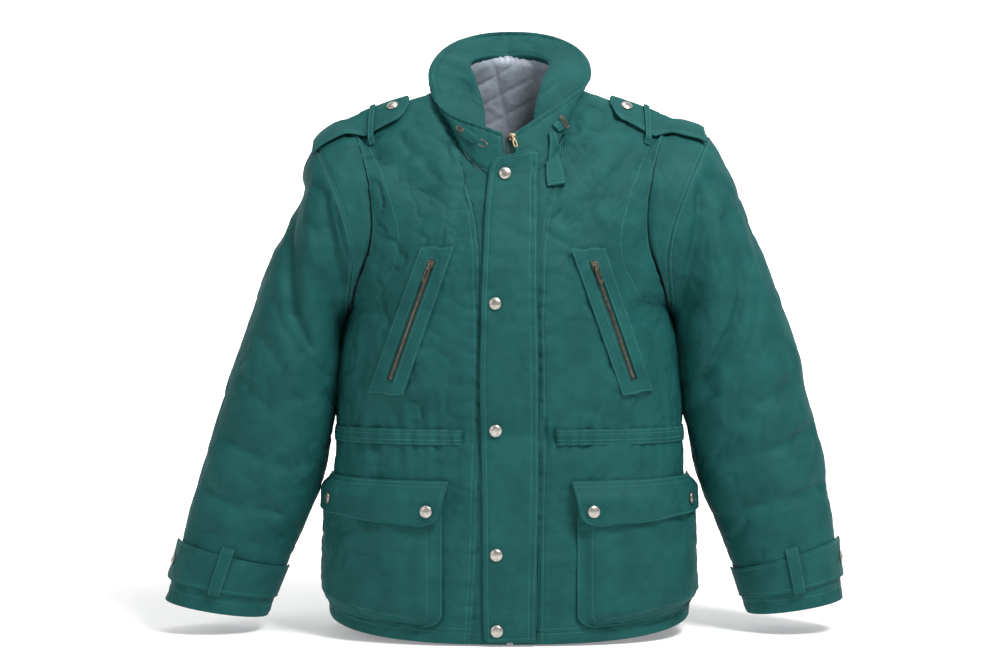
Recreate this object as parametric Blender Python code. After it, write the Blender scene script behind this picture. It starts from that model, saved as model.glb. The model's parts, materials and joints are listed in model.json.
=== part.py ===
"""Padded parka with a stand collar, held open as on a wearer.

The origin lies between the shoulders at the height of the side neck, +Z is up, the front
faces -Y and the wearer's left is at +X. Lengths in the tables are millimetres, and MM
turns them into metres when a mesh is made. In names, "left" is the side at -X.
"""
import math

import bpy
import numpy as np
from mathutils import Matrix

MM = 0.001

# Driving sizes
SHELL = 4.0          # body wall: shell cloth, wadding and lining
SLEEVE_WALL = 3.5
COLLAR_WALL = 6.5
LINING_WALL = 1.2
PLACKET_WALL = 4.0
FLAP_WALL = 3.0
POCKET_WALL = 2.0
STRAP_WALL = 2.5
LOOP_WALL = 1.5
FRAME_WALL = 1.6
SEAM_GAP = 0.4       # between pieces sewn edge to edge
LAY = 0.8            # under a piece that lies on a panel
SNAP_RADIUS = 7.9
ZIP_HALF = 4.0       # half the opening between the zip bands
CHAIN_HALF = 3.2     # half the width of a zip chain
POCKET_DEPTH = 9.0   # how far a bellows pocket stands off the front

LEFT, RIGHT = -1, 1
SIDES = ((LEFT, "left"), (RIGHT, "right"))

# Body sections from hem to neck. Each runs from the centre to the side seam, then to the
# armhole edge (rows 13 to 18), then to the shoulder seam (rows 19 to 22) and the neck side.
# swing: how much of a quarter turn the section makes; power: squareness of its corner;
# rise: how late its height changes.
ARMPIT_ROW, SHOULDER_ROW, NECK_ROW = 12, 19, 23
# columns: mid_y, mid_z, edge_x, edge_y, edge_z, swing, power, rise
FRONT_ROWS = (
    (-152.0, -727, 243.0, 0, -700, 90, 2.5, 1.3),
    (-151.0, -690, 242.5, 0, -667, 90, 2.5, 1.3),
    (-150.5, -650, 241.5, 0, -632, 90, 2.5, 1.3),
    (-150.0, -605, 240.0, 0, -593, 90, 2.5, 1.3),
    (-148.5, -560, 238.5, 0, -552, 90, 2.5, 1.3),
    (-147.0, -520, 237.0, 0, -516, 90, 2.5, 1.3),
    (-144.5, -487, 235.5, 0, -485, 90, 2.5, 1.3),
    (-142.5, -462, 234.0, 0, -461, 90, 2.5, 1.3),
    (-144.5, -437, 233.0, 0, -436, 90, 2.5, 1.3),
    (-148.0, -405, 231.0, 0, -403, 90, 2.5, 1.3),
    (-151.0, -370, 228.5, 0, -366, 90, 2.45, 1.3),
    (-152.5, -338, 224.5, 0, -331, 90, 2.45, 1.3),
    (-152.5, -311, 216.0, 0, -300, 90, 2.4, 1.3),
    (-151.5, -290, 207.0, -60, -280, 66, 2.4, 1.3),
    (-150.0, -268, 197.0, -84, -252, 59, 2.4, 1.3),
    (-147.5, -245, 184.0, -98, -215, 53, 2.4, 1.4),
    (-143.0, -220, 181.0, -100, -172, 50, 2.4, 1.5),
    (-137.5, -198, 190.0, -85, -112, 48, 2.35, 1.6),
    (-133.0, -182, 203.0, -45, -66, 50, 2.3, 1.8),
    (-128.5, -168, 212.0, -10, -42, 54, 2.3, 2.0),
    (-124.0, -157, 180.0, -11, -27, 60, 2.3, 2.0),
    (-119.5, -147, 145.0, -11, -15, 69, 2.3, 1.8),
    (-115.0, -136, 110.0, -10, -5, 80, 2.4, 1.4),
    (-110.0, -124, 74.0, -8, -1, 90, 2.6, 1.0),
)
BACK_ROWS = (
    (140.0, -722, 243.0, 0, -700, 90, 2.5, 1.3),
    (139.5, -688, 242.5, 0, -667, 90, 2.5, 1.3),
    (139.0, -649, 241.5, 0, -632, 90, 2.5, 1.3),
    (138.0, -604, 240.0, 0, -593, 90, 2.5, 1.3),
    (136.5, -559, 238.5, 0, -552, 90, 2.5, 1.3),
    (134.5, -520, 237.0, 0, -516, 90, 2.5, 1.3),
    (132.0, -487, 235.5, 0, -485, 90, 2.5, 1.3),
    (130.0, -462, 234.0, 0, -461, 90, 2.5, 1.3),
    (131.5, -437, 233.0, 0, -436, 90, 2.5, 1.3),
    (134.5, -405, 231.0, 0, -403, 90, 2.5, 1.3),
    (137.5, -369, 228.5, 0, -366, 90, 2.45, 1.3),
    (139.5, -336, 224.5, 0, -331, 90, 2.45, 1.3),
    (140.5, -305, 216.0, 0, -300, 90, 2.4, 1.3),
    (140.5, -275, 205.0, 55, -285, 68, 2.4, 1.3),
    (139.5, -240, 191.0, 84, -240, 56, 2.4, 1.3),
    (137.5, -200, 185.0, 96, -198, 52, 2.4, 1.4),
    (134.5, -160, 184.0, 98, -155, 50, 2.4, 1.5),
    (130.0, -118, 191.0, 82, -105, 50, 2.35, 1.6),
    (124.5, -82, 204.0, 42, -61, 52, 2.3, 1.8),
    (118.0, -52, 212.0, -10, -42, 58, 2.3, 2.0),
    (111.0, -26, 180.0, -11, -27, 64, 2.3, 2.0),
    (102.0, -2, 145.0, -11, -15, 73, 2.3, 1.8),
    (91.0, 24, 110.0, -10, -5, 82, 2.3, 1.2),
    (79.0, 51, 74.0, -8, -1, 90, 2.3, 0.75),
)

# Seam between zip band and front panel. columns: row, left x, right x
BAND_SEAM = (
    (0, 50, 34), (3, 43, 35), (7, 39, 38), (12, 37, 35), (16, 40, 38),
    (19, 48, 47), (21, 57, 57), (23, 68, 68),
)

# Sleeve sections from armhole to cuff, for each side.
# columns: outer_x, outer_z, inner_x, inner_z, half_depth, mid_y
SLEEVE_ROWS = {
    LEFT: (
        (212, -42, 216, -300, 100, 0),
        (236, -49, 219, -306, 100, 0),
        (262, -72, 223, -316, 100, -1),
        (284, -120, 227.5, -333, 98, -2),
        (300, -165, 230.5, -350, 96, -3),
        (325, -229, 234, -385, 93, -4),
        (345, -290, 237, -425, 88, -6),
        (367, -351, 240.5, -467, 84, -7),
        (388, -416, 246.5, -507, 80, -8),
        (404, -470, 257, -541, 76, -10),
        (417, -514, 271, -575, 72, -11),
        (430, -560, 286, -609, 67, -12),
        (442, -608, 301, -642, 63, -13),
        (454, -650, 315, -676, 60, -14),
        (464, -686, 327, -709, 57, -15),
    ),
    RIGHT: (
        (212, -42, 216, -300, 100, 0),
        (240, -46, 219, -306, 100, 0),
        (269, -61, 223, -316, 100, -1),
        (294, -105, 227.5, -333, 98, -2),
        (313, -150, 230.5, -350, 96, -3),
        (343, -220, 234, -385, 93, -4),
        (366, -285, 237, -425, 88, -6),
        (388, -346, 241, -467, 84, -7),
        (403, -411, 248, -505, 80, -8),
        (417, -464, 260, -540, 76, -10),
        (427, -512, 275, -577, 72, -11),
        (433, -557, 290, -612, 67, -12),
        (439, -604, 302, -645, 63, -13),
        (444, -646, 312, -676, 60, -14),
        (449, -684, 321, -705, 57, -15),
    ),
}
CUFF_STATION = 14
ARMHOLE_FADE = 3.2     # stations over which the armhole's shape gives way to the sleeve's
HEAD_TOP, HEAD_UNDER = 1.95, 0.75   # stations where the second sleeve seam runs

# Collar rim, by turn round the neck: 0 centre front, 1 side, 2 centre back.
# columns: turn, x, y, z
COLLAR_RIM = {
    LEFT: (
        (0.0, 3, -100, -68), (0.15, 30, -92, -57), (0.28, 50, -82, -49),
        (0.42, 70, -68, -40), (0.58, 91, -50, -27), (0.78, 105, -20, -7),
        (1.0, 111, 15, 25), (1.2, 101, 50, 54), (1.42, 81, 75, 75),
        (1.65, 53, 88, 88), (1.83, 28, 97, 94), (2.0, 0, 100, 96),
    ),
    RIGHT: (
        (0.0, 3, -99, -67), (0.12, 15, -93, -59), (0.27, 42, -78, -39),
        (0.42, 69, -58, -20), (0.57, 87, -38, -6), (0.78, 105, -12, 9),
        (1.0, 112, 15, 25), (1.2, 108, 45, 49), (1.42, 93, 72, 70),
        (1.65, 66, 88, 86), (1.83, 34, 97, 94), (2.0, 0, 100, 96),
    ),
}
COLLAR_BOW = 3.0       # how far the collar stands out between seam and rim
# How far its foot is lifted off the panels, by turn round the neck
COLLAR_STAND = ((0.0, 0.0), (0.45, 0.3), (0.75, 2.8), (1.15, 2.8), (1.6, 0.4), (2.0, 0.0))
NECK_MIDDLE_Y = -15.0

# Soft folds of the wadded cloth, as troughs seen from the front (or back).
# columns: x0, z0, x1, z1, depth, half_width
FRONT_FOLDS = {
    LEFT: (
        (150, -250, 172, -300, 3.5, 20), (95, -420, 165, -432, 3.0, 15),
        (70, -300, 85, -380, 2.5, 18), (110, -150, 150, -190, 3.0, 18),
        (185, -330, 205, -400, 3.5, 20),
    ),
    RIGHT: (
        (75, -175, 118, -148, 3.5, 14), (70, -225, 100, -185, 3.0, 14),
        (150, -245, 176, -300, 3.5, 20), (95, -425, 175, -432, 3.0, 15),
        (185, -335, 206, -400, 3.5, 20), (60, -330, 66, -400, 2.5, 16),
    ),
}
BACK_FOLDS = {
    LEFT: (
        (60, -120, 120, -175, 3.5, 20), (150, -225, 178, -290, 3.5, 22),
        (100, -420, 180, -432, 3.0, 16), (40, -560, 60, -650, 2.5, 20),
    ),
    RIGHT: (
        (70, -110, 130, -160, 3.5, 20), (155, -235, 180, -300, 3.5, 22),
        (90, -425, 170, -433, 3.0, 16), (120, -540, 128, -640, 2.5, 20),
    ),
}
SLEEVE_FOLDS = {
    LEFT: (
        (281, -131, 292, -184, 8, 17), (292, -184, 291, -245, 9, 19),
        (291, -245, 283, -301, 9, 19), (283, -301, 264, -344, 8, 18),
        (249, -143, 242, -190, 6.5, 15), (242, -190, 227, -243, 8, 17),
        (227, -243, 215, -271, 6.5, 16), (244, -257, 222, -337, 6.5, 16),
        (268, -245, 249, -258, 4.5, 14), (264, -395, 243, -412, 4.5, 14),
        (370, -470, 300, -500, 5.5, 18), (395, -545, 320, -560, 4.5, 16),
    ),
    RIGHT: (
        (291, -175, 309, -233, 8, 17), (309, -233, 311, -270, 9, 18),
        (311, -270, 301, -310, 9, 18), (301, -310, 260, -390, 8, 18),
        (257, -136, 255, -184, 6.5, 15), (255, -184, 241, -245, 8, 17),
        (241, -245, 232, -281, 6.5, 16), (375, -400, 300, -430, 5.5, 18),
        (395, -470, 290, -500, 5.5, 18), (415, -535, 310, -560, 5.5, 16),
    ),
}


def spline(rows, at):
    """Read a table smoothly at fractional row numbers."""
    rows = np.asarray(rows, dtype=float)
    rows = np.vstack((2 * rows[0] - rows[1], rows, 2 * rows[-1] - rows[-2]))
    last = len(rows) - 3
    at = np.clip(np.asarray(at, dtype=float), 0, last)
    base = np.minimum(at.astype(int), last - 1)
    step = (at - base)[..., None]
    before, here, after, beyond = (rows[base + k] for k in range(4))
    return 0.5 * (2 * here + (after - before) * step
                  + (2 * before - 5 * here + 4 * after - beyond) * step ** 2
                  + (3 * here - before - 3 * after + beyond) * step ** 3)


def smooth(value):
    """Ease from 0 to 1."""
    value = np.clip(value, 0, 1)
    return value * value * (3 - 2 * value)


def unit(vectors):
    return vectors / np.maximum(np.linalg.norm(vectors, axis=-1, keepdims=True), 1e-9)


def lobe(angle, power):
    """Point of a unit superellipse, from its front (angle 0) to its side."""
    across, along = np.sin(angle), np.maximum(np.cos(angle), 0)
    reach = (across ** power + along ** power) ** (-1 / power)
    return across * reach, along * reach


def section(rows, row, share):
    """Point at a share (0 centre, 1 edge) of one body section."""
    values = np.moveaxis(spline(rows, row), -1, 0)
    mid_y, mid_z, edge_x, edge_y, edge_z, swing, power, rise = values
    swing = np.radians(swing)
    across, along = lobe(swing * share, power)
    edge_across, edge_along = lobe(swing, power)
    back_by = (1 - along) / (1 - edge_along)
    up_by = (1 - along ** rise) / (1 - edge_along ** rise)
    return np.stack((edge_x * across / edge_across,
                     mid_y + (edge_y - mid_y) * back_by,
                     mid_z + (edge_z - mid_z) * up_by), axis=-1)


def body_base(side, row, turn):
    """Outer cloth of the body before folds: turn 0 centre front, 1 edge, 2 centre back."""
    row, turn = np.broadcast_arrays(np.asarray(row, float), np.asarray(turn, float))
    turn = np.clip(turn, 0, 2)
    front = section(FRONT_ROWS, row, np.minimum(turn, 1))
    back = section(BACK_ROWS, row, np.minimum(2 - turn, 1))
    point = np.where((turn <= 1)[..., None], front, back)
    return point * np.array((side, 1, 1))


def body_facing(side, row, turn, row_step=0.15, turn_step=0.03):
    """Outward direction of the body cloth, shared by both panels where they are sewn."""
    row, turn = np.broadcast_arrays(np.asarray(row, float), np.asarray(turn, float))
    up = body_base(side, row + row_step, turn) - body_base(side, row - row_step, turn)
    joined = body_base(side, row, turn + turn_step) - body_base(side, row, turn - turn_step)
    low = np.where(turn <= 1, turn - turn_step, np.maximum(turn - turn_step, 1.0001))
    high = np.where(turn <= 1, np.minimum(turn + turn_step, 1), turn + turn_step)
    own = body_base(side, row, high) - body_base(side, row, low)
    inside_armhole = np.minimum(row - ARMPIT_ROW, SHOULDER_ROW - row)
    open_share = smooth(inside_armhole / 0.6)[..., None]
    across = unit(joined) * (1 - open_share) + unit(own) * open_share
    return unit(np.cross(across, up)) * side


def troughs(x, z, folds):
    """Depth of the folds at points of the x, z plane."""
    depth = np.zeros(np.shape(x))
    for x0, z0, x1, z1, deep, half in folds:
        run_x, run_z = x1 - x0, z1 - z0
        share = ((x - x0) * run_x + (z - z0) * run_z) / (run_x ** 2 + run_z ** 2)
        share = np.clip(share, 0, 1)
        away = np.hypot(x - x0 - share * run_x, z - z0 - share * run_z)
        depth = np.maximum(depth, deep * np.exp(-(away / half) ** 2))
    return depth


def over_body(side, row, turn, lift=0.0):
    """Unfolded body surface moved out by lift, for what lies on the cloth."""
    lift = np.asarray(lift, dtype=float)[..., None]
    return body_base(side, row, turn) + body_facing(side, row, turn) * lift


def body(side, row, turn, lift=0.0):
    """Body cloth with its folds, moved out by lift."""
    row, turn = np.broadcast_arrays(np.asarray(row, float), np.asarray(turn, float))
    point = body_base(side, row, turn)
    x, z = abs(point[..., 0]), point[..., 2]
    folds = np.where(turn <= 1, troughs(x, z, FRONT_FOLDS[side]), troughs(x, z, BACK_FOLDS[side]))
    folds = folds * smooth(abs(1 - turn) / 0.12)
    return point + body_facing(side, row, turn) * (lift - folds)[..., None]


def turn_for_x(row, x):
    """Turn at which a front section reaches a distance x from the centre."""
    values = spline(FRONT_ROWS, row)
    edge_x, swing, power = values[..., 2], np.radians(values[..., 5]), values[..., 6]
    share = np.clip(x / edge_x * lobe(swing, power)[0], 0, 0.9999) ** power
    return np.clip(np.arctan((share / (1 - share)) ** (1 / power)) / swing, 0, 1)


def spot(x, z):
    """Row and turn of the front cloth at a distance x from the centre and a height z."""
    x, z = np.broadcast_arrays(np.asarray(x, float), np.asarray(z, float))
    low, high = np.zeros(x.shape), np.full(x.shape, float(NECK_ROW))
    for _ in range(30):
        middle = (low + high) / 2
        below = body_base(RIGHT, middle, turn_for_x(middle, x))[..., 2] < z
        low, high = np.where(below, middle, low), np.where(below, high, middle)
    return low, turn_for_x(low, x)


def band_seam(side, row):
    rows = np.array(BAND_SEAM, dtype=float)
    return np.interp(row, rows[:, 0], rows[:, 1 if side == LEFT else 2])


def armhole(side, angle):
    """Armhole edge: angle 0 at the top, a quarter turn at the front, half at the armpit."""
    angle = np.mod(angle, 2 * math.pi)
    rows = np.linspace(ARMPIT_ROW, SHOULDER_ROW, 141)
    top, bottom = FRONT_ROWS[SHOULDER_ROW][4], FRONT_ROWS[ARMPIT_ROW][4]
    height = (top + bottom) / 2 + (top - bottom) / 2 * np.cos(angle)
    edges = []
    for turn in (1.0, 1.0001):
        line = body_base(side, rows, turn)
        edges.append(body_base(side, np.interp(height, line[:, 2], rows), turn))
    return np.where((angle <= math.pi)[..., None], edges[0], edges[1])


def sleeve_oval(side, station, angle):
    outer_x, outer_z, inner_x, inner_z, depth, mid_y = np.moveaxis(
        spline(SLEEVE_ROWS[side], station), -1, 0)
    out, front = np.cos(angle), np.sin(angle)
    return np.stack((side * ((outer_x + inner_x) / 2 + (outer_x - inner_x) / 2 * out),
                     mid_y - depth * front,
                     (outer_z + inner_z) / 2 + (outer_z - inner_z) / 2 * out), axis=-1)


def sleeve_base(side, station, angle):
    """Outer cloth of a sleeve before folds: angle 0 outer side, a quarter turn at the front."""
    station, angle = np.broadcast_arrays(np.asarray(station, float), np.asarray(angle, float))
    keep = 1 - smooth(station / ARMHOLE_FADE)
    start = armhole(side, angle) - sleeve_oval(side, np.zeros(angle.shape), angle)
    return sleeve_oval(side, station, angle) + start * keep[..., None]


def sleeve_facing(side, station, angle, station_step=0.1, angle_step=0.05):
    down = (sleeve_base(side, np.asarray(station) + station_step, angle)
            - sleeve_base(side, np.asarray(station) - station_step, angle))
    around = (sleeve_base(side, station, np.asarray(angle) + angle_step)
              - sleeve_base(side, station, np.asarray(angle) - angle_step))
    return unit(np.cross(around, down)) * side


def sleeve(side, station, angle, lift=0.0):
    """Sleeve cloth with its folds, moved out by lift."""
    station, angle = np.broadcast_arrays(np.asarray(station, float), np.asarray(angle, float))
    point = sleeve_base(side, station, angle)
    folds = troughs(abs(point[..., 0]), point[..., 2], SLEEVE_FOLDS[side])
    folds = folds * smooth(station / 2 - 0.3) * smooth((12.4 - station) / 2)
    return point + sleeve_facing(side, station, angle) * (lift - folds)[..., None]


def collar_outward(side, turn):
    """Level direction away from the middle of the neck."""
    seam = body_base(side, np.full(np.shape(turn), float(NECK_ROW)), turn)
    return unit((seam - (0, NECK_MIDDLE_Y, 0)) * (1, 1, 0))


def collar_base(side, turn, height):
    """Outer cloth of the collar: height 0 at the neck seam, 1 at the rim."""
    turn, height = np.broadcast_arrays(np.asarray(turn, float), np.asarray(height, float))
    rows = np.array(COLLAR_RIM[side], dtype=float)
    rim = spline(rows[:, 1:], np.interp(turn, rows[:, 0], range(len(rows))))
    rim = rim * np.array((side, 1, 1))
    seam = body_base(side, np.full(turn.shape, NECK_ROW), turn)
    bow = COLLAR_BOW * 4 * height * (1 - height)
    stand = np.interp(turn, *np.array(COLLAR_STAND).T) * (1 - height)
    return (seam + (rim - seam) * height[..., None] + collar_outward(side, turn) * bow[..., None]
            + body_facing(side, NECK_ROW, turn) * stand[..., None])


def collar(side, turn, height, lift=0.0):
    turn, height = np.broadcast_arrays(np.asarray(turn, float), np.asarray(height, float))
    up = collar_base(side, turn, height + 0.04) - collar_base(side, turn, height - 0.04)
    around = (collar_base(side, np.minimum(turn + 0.02, 2), height)
              - collar_base(side, np.maximum(turn - 0.02, 0), height))
    facing = unit(np.cross(around, up)) * side
    return collar_base(side, turn, height) + facing * lift


def front_sheet(x, z, lift=0.0):
    """Front cloth at a signed x and a height z, running on over the collar."""
    x, z = np.broadcast_arrays(np.asarray(x, float), np.asarray(z, float))
    sheet = np.zeros(x.shape + (3,))
    for side in (LEFT, RIGHT):
        chosen = (x < 0) if side == LEFT else (x >= 0)
        if not chosen.any():
            continue
        away, height = abs(x[chosen]), z[chosen]
        row, turn = spot(away, height)
        on_body = over_body(side, row, turn, lift)
        neck_turn = turn_for_x(np.full(away.shape, NECK_ROW), away)
        share = np.zeros(away.shape)
        for _ in range(8):
            seam = collar_base(side, neck_turn, 0)
            rim = collar_base(side, neck_turn, 1)
            share = (height - seam[:, 2]) / (rim[:, 2] - seam[:, 2])
            reached = abs(seam[:, 0] + (rim[:, 0] - seam[:, 0]) * share)
            neck_turn = np.clip(neck_turn + (away - reached) / 190, 0, 1)
        on_collar = collar(side, neck_turn, share, lift)
        sheet[chosen] = np.where((share > 0)[:, None], on_collar, on_body)
    return sheet


def clear_scene():
    for thing in list(bpy.data.objects):
        bpy.data.objects.remove(thing, do_unlink=True)


def finish(name, colour, roughness, metallic):
    """Principled material by name, made once."""
    found = bpy.data.materials.get(name)
    if found:
        return found
    made = bpy.data.materials.new(name)
    made.use_nodes = True
    shader = made.node_tree.nodes["Principled BSDF"]
    shader.inputs["Base Color"].default_value = (*colour, 1)
    shader.inputs["Roughness"].default_value = roughness
    shader.inputs["Metallic"].default_value = metallic
    return made


FINISHES = {
    "green_cloth": ((0.012, 0.095, 0.075), 0.55, 0.0),
    "grey_lining": ((0.26, 0.28, 0.33), 0.45, 0.0),
    "nickel": ((0.72, 0.70, 0.66), 0.28, 1.0),
    "gunmetal": ((0.16, 0.14, 0.12), 0.38, 1.0),
    "brass": ((0.55, 0.42, 0.20), 0.35, 1.0),
}


def add_object(name, points, faces, look):
    """One closed mesh as an object of its own; points are millimetres."""
    mesh = bpy.data.meshes.new(name)
    mesh.from_pydata([tuple(point * MM) for point in points], [], faces)
    mesh.validate()
    mesh.update()
    mesh.shade_smooth()
    mesh.set_sharp_from_angle(angle=math.radians(40))
    thing = bpy.data.objects.new(name, mesh)
    thing.data.materials.append(finish(look, *FINISHES[look]))
    bpy.context.scene.collection.objects.link(thing)
    return thing


def wall(name, outer, inner, look, ring=False, cut=None):
    """Closed wall between two grids of points, with an optional mask of cells left open.

    Grids are (rows, columns, 3). A ring closes its last column onto its first.
    """
    rows, columns = outer.shape[:2]
    count = rows * columns
    points = np.concatenate((outer.reshape(-1, 3), inner.reshape(-1, 3)))
    span = columns if ring else columns - 1
    kept = np.ones((rows - 1, span), dtype=bool)
    if cut is not None:
        kept &= ~cut

    def corner(row, column):
        return row * columns + column % columns

    def stays(row, column):
        if ring:
            column %= span
        inside = 0 <= row < rows - 1 and 0 <= column < span
        return inside and kept[row, column]

    faces = []
    for row in range(rows - 1):
        for column in range(span):
            if not kept[row, column]:
                continue
            loop = (corner(row, column), corner(row, column + 1),
                    corner(row + 1, column + 1), corner(row + 1, column))
            faces.append(loop)
            faces.append(tuple(count + index for index in reversed(loop)))
            beyond = (stays(row - 1, column), stays(row, column + 1),
                      stays(row + 1, column), stays(row, column - 1))
            for edge, covered in enumerate(beyond):
                if not covered:
                    first, second = loop[edge], loop[(edge + 1) % 4]
                    faces.append((second, first, first + count, second + count))
    used = sorted({index for face in faces for index in face})
    renumber = {old: new for new, old in enumerate(used)}
    faces = [tuple(renumber[index] for index in face) for face in faces]
    made = add_object(name, points[used], faces, look)
    turn_outward(made)
    return made


def turn_outward(thing):
    """Flip a closed mesh whose volume comes out negative."""
    mesh = thing.data
    volume = 0.0
    for polygon in mesh.polygons:
        corners = [mesh.vertices[index].co for index in polygon.vertices]
        for second, third in zip(corners[1:], corners[2:]):
            volume += corners[0].dot(second.cross(third))
    if volume < 0:
        mesh.flip_normals()


def grid(across, along):
    """Two matching grids of parameters, rows along and columns across."""
    return np.meshgrid(np.asarray(across, float), np.asarray(along, float))


# Rows of the body panels: sparse below the arms, close round the armhole
PANEL_ROWS = (0, 1.2, 2.4, 3.6, 4.8, 6, 7, 8, 9.3, 10.6, 12, 12.5, 13, 13.5, 14, 14.5, 15,
              15.5, 16, 16.5, 17, 17.5, 18, 18.5, 19, 20, 21, 22, 23)
SEAM_TURN = 0.0012     # half a seam's gap, as a share of a section
FRONT_CELLS, BAND_CELLS, BACK_CELLS = 11, 3, 16
SLEEVE_CELLS, SLEEVE_LENGTHS = 22, 18


def front_panels():
    rows = np.array(PANEL_ROWS, dtype=float)
    for side, word in SIDES:
        seam = band_seam(side, rows)
        first = turn_for_x(rows, seam + SEAM_GAP / 2)[:, None]
        share = np.linspace(0, 1, FRONT_CELLS + 1)[None, :]
        turn = first + (1 - SEAM_TURN - first) * share
        row = np.repeat(rows[:, None], FRONT_CELLS + 1, axis=1)
        wall(f"front_{word}", body(side, row, turn), body(side, row, turn, -SHELL), "green_cloth")
        x = ZIP_HALF + (seam - SEAM_GAP / 2 - ZIP_HALF)[:, None] * np.linspace(0, 1, BAND_CELLS + 1)
        row = np.repeat(rows[:, None], BAND_CELLS + 1, axis=1)
        turn = turn_for_x(row, x)
        wall(f"band_{word}", body(side, row, turn), body(side, row, turn, -SHELL), "green_cloth")


def both_sides(surface, around, *others, **more):
    """Points of a surface that runs from the left edge (-1) over the back to the right (1)."""
    turn = 2 - abs(around)
    left, right = (surface(side, turn, *others, **more) for side in (LEFT, RIGHT))
    return np.where((around < 0)[..., None], left, right)


def back_point(side, turn, row, lift=0.0):
    return body(side, row, turn, lift)


def over_back(side, turn, row, lift=0.0):
    return over_body(side, row, turn, lift)


def back_panel():
    reach = 1 - SEAM_TURN
    around, row = grid(np.linspace(-reach, reach, BACK_CELLS + 1), PANEL_ROWS)
    wall("back", both_sides(back_point, around, row),
         both_sides(back_point, around, row, lift=-SHELL), "green_cloth")


LINING_REACH = 0.625   # how far round from the centre back the neck lining shows
LINING_CELLS = 10      # five of the back panel's cells on each side
LINING_ROWS = (18, 18.5, 19, 20, 21, 22, 22.92)
LINING_GAP = 2.4


def back_neck_lining():
    around, row = grid(np.linspace(-LINING_REACH, LINING_REACH, LINING_CELLS + 1), LINING_ROWS)
    outside = -SHELL - LINING_GAP
    wall("lining_back", both_sides(back_point, around, row, lift=outside),
         both_sides(back_point, around, row, lift=outside - LINING_WALL), "grey_lining")


WAIST_ROWS = (6.55, 7.0, 7.43)
GATHER_LENGTH = 16.5   # along the casing from one gather to the next
GATHER_HEIGHT = 1.7
CASING_BASE, CASING_EDGE, CASING_TOP = LAY, 2.9, 4.6
WAIST_START = 60.0     # distance from the centre where the front casings start
WAIST_QUARTER = 315.0  # length of the waist from centre to side seam


def gather_stops(start, end):
    """Stations at each gather's crest and trough, unevenly spaced, and their heights."""
    count = 2 * int((end - start) * WAIST_QUARTER / GATHER_LENGTH)
    even = np.arange(1, count)
    stops = even + 0.28 * np.sin(even * 1.7) + 0.16 * np.sin(even * 4.1)
    stops = start + (end - start) * np.concatenate(([0], stops, [count])) / count
    heights = GATHER_HEIGHT * np.where(np.arange(count + 1) % 2, 1, -1)
    heights = heights * (0.8 + 0.35 * np.sin(np.arange(count + 1) * 2.3))
    heights[0] = heights[-1] = 0
    return stops, heights


def waist_casings():
    lifts = np.array((CASING_EDGE, CASING_TOP, CASING_EDGE))[:, None]
    puff = np.array((0.6, 1.0, 0.6))[:, None]
    for side, word in SIDES:
        start = float(turn_for_x(np.array(7.0), np.array(WAIST_START)))
        stops, heights = gather_stops(start, 1 - SEAM_TURN)
        turn, row = grid(stops, WAIST_ROWS)
        wall(f"waist_front_{word}", over_body(side, row, turn, lifts + puff * heights),
             over_body(side, row, turn, CASING_BASE), "green_cloth")
    stops, heights = gather_stops(-1 + SEAM_TURN, 1 - SEAM_TURN)
    around, row = grid(stops, WAIST_ROWS)
    wall("waist_back", both_sides(over_back, around, row, lift=lifts + puff * heights),
         both_sides(over_back, around, row, lift=CASING_BASE), "green_cloth")


def ring_angles(cells):
    """Angles round a sleeve, closest together at the front."""
    even = np.linspace(0, 2 * math.pi, cells, endpoint=False)
    return even + 0.3 * np.cos(even)


def head_end(angle):
    """Station of the second sleeve seam: far out at the top, close under the arm."""
    return HEAD_UNDER + (HEAD_TOP - HEAD_UNDER) * (1 + np.cos(angle)) / 2


HEAD_START_TOP, HEAD_START_UNDER = 0.16, 0.3   # stations left free at the armhole
HEAD_DROP = 2.2        # how far the sleeve head starts below the armhole flange
# Stations left free before and after the second seam; under the arm stations lie close together
SEAM_BEFORE, SEAM_AFTER, SEAM_AFTER_UNDER = 0.02, 0.04, 0.14


def sleeves():
    angles = ring_angles(SLEEVE_CELLS)
    for side, word in SIDES:
        angle, share = grid(angles, (0, 0.5, 1))
        start = HEAD_START_TOP + (HEAD_START_UNDER - HEAD_START_TOP) * (1 - np.cos(angle)) / 2
        end = head_end(angle) - SEAM_BEFORE
        station = start + (end - start) * share
        drop = -HEAD_DROP * (1 - smooth(share))
        wall(f"sleeve_head_{word}", sleeve(side, station, angle, drop),
             sleeve(side, station, angle, drop - SLEEVE_WALL), "green_cloth", ring=True)
        angle, share = grid(angles, np.linspace(0, 1, SLEEVE_LENGTHS + 1))
        under = (1 - np.cos(angle)) / 2
        start = head_end(angle) + SEAM_AFTER + (SEAM_AFTER_UNDER - SEAM_AFTER) * under
        station = start + (CUFF_STATION - start) * share
        wall(f"sleeve_{word}", sleeve(side, station, angle),
             sleeve(side, station, angle, -SLEEVE_WALL), "green_cloth", ring=True)


COLLAR_END_X = 4.4     # where the collar's ends stop beside the zip
COLLAR_FOOT = 0.045    # height left free above the neck seam, outside
COLLAR_INNER_FOOT = 0.1
# columns: height, outer lift, inner lift
COLLAR_PROFILE = ((0.0, 0.0, -COLLAR_WALL), (0.34, 0.0, -COLLAR_WALL), (0.7, 0.0, -COLLAR_WALL),
                  (0.93, 0.0, -COLLAR_WALL), (1.0, -1.6, -4.7))
# How far the wadded inner side of the collar leans in at its foot, by turn round the neck
COLLAR_LEAN = {LEFT: ((0, 0), (0.25, 3), (0.55, 18), (1.1, 20), (1.5, 12), (2, 3)),
               RIGHT: ((0, 0), (0.35, 3), (0.7, 14), (1.1, 18), (1.5, 12), (2, 3))}


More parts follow.
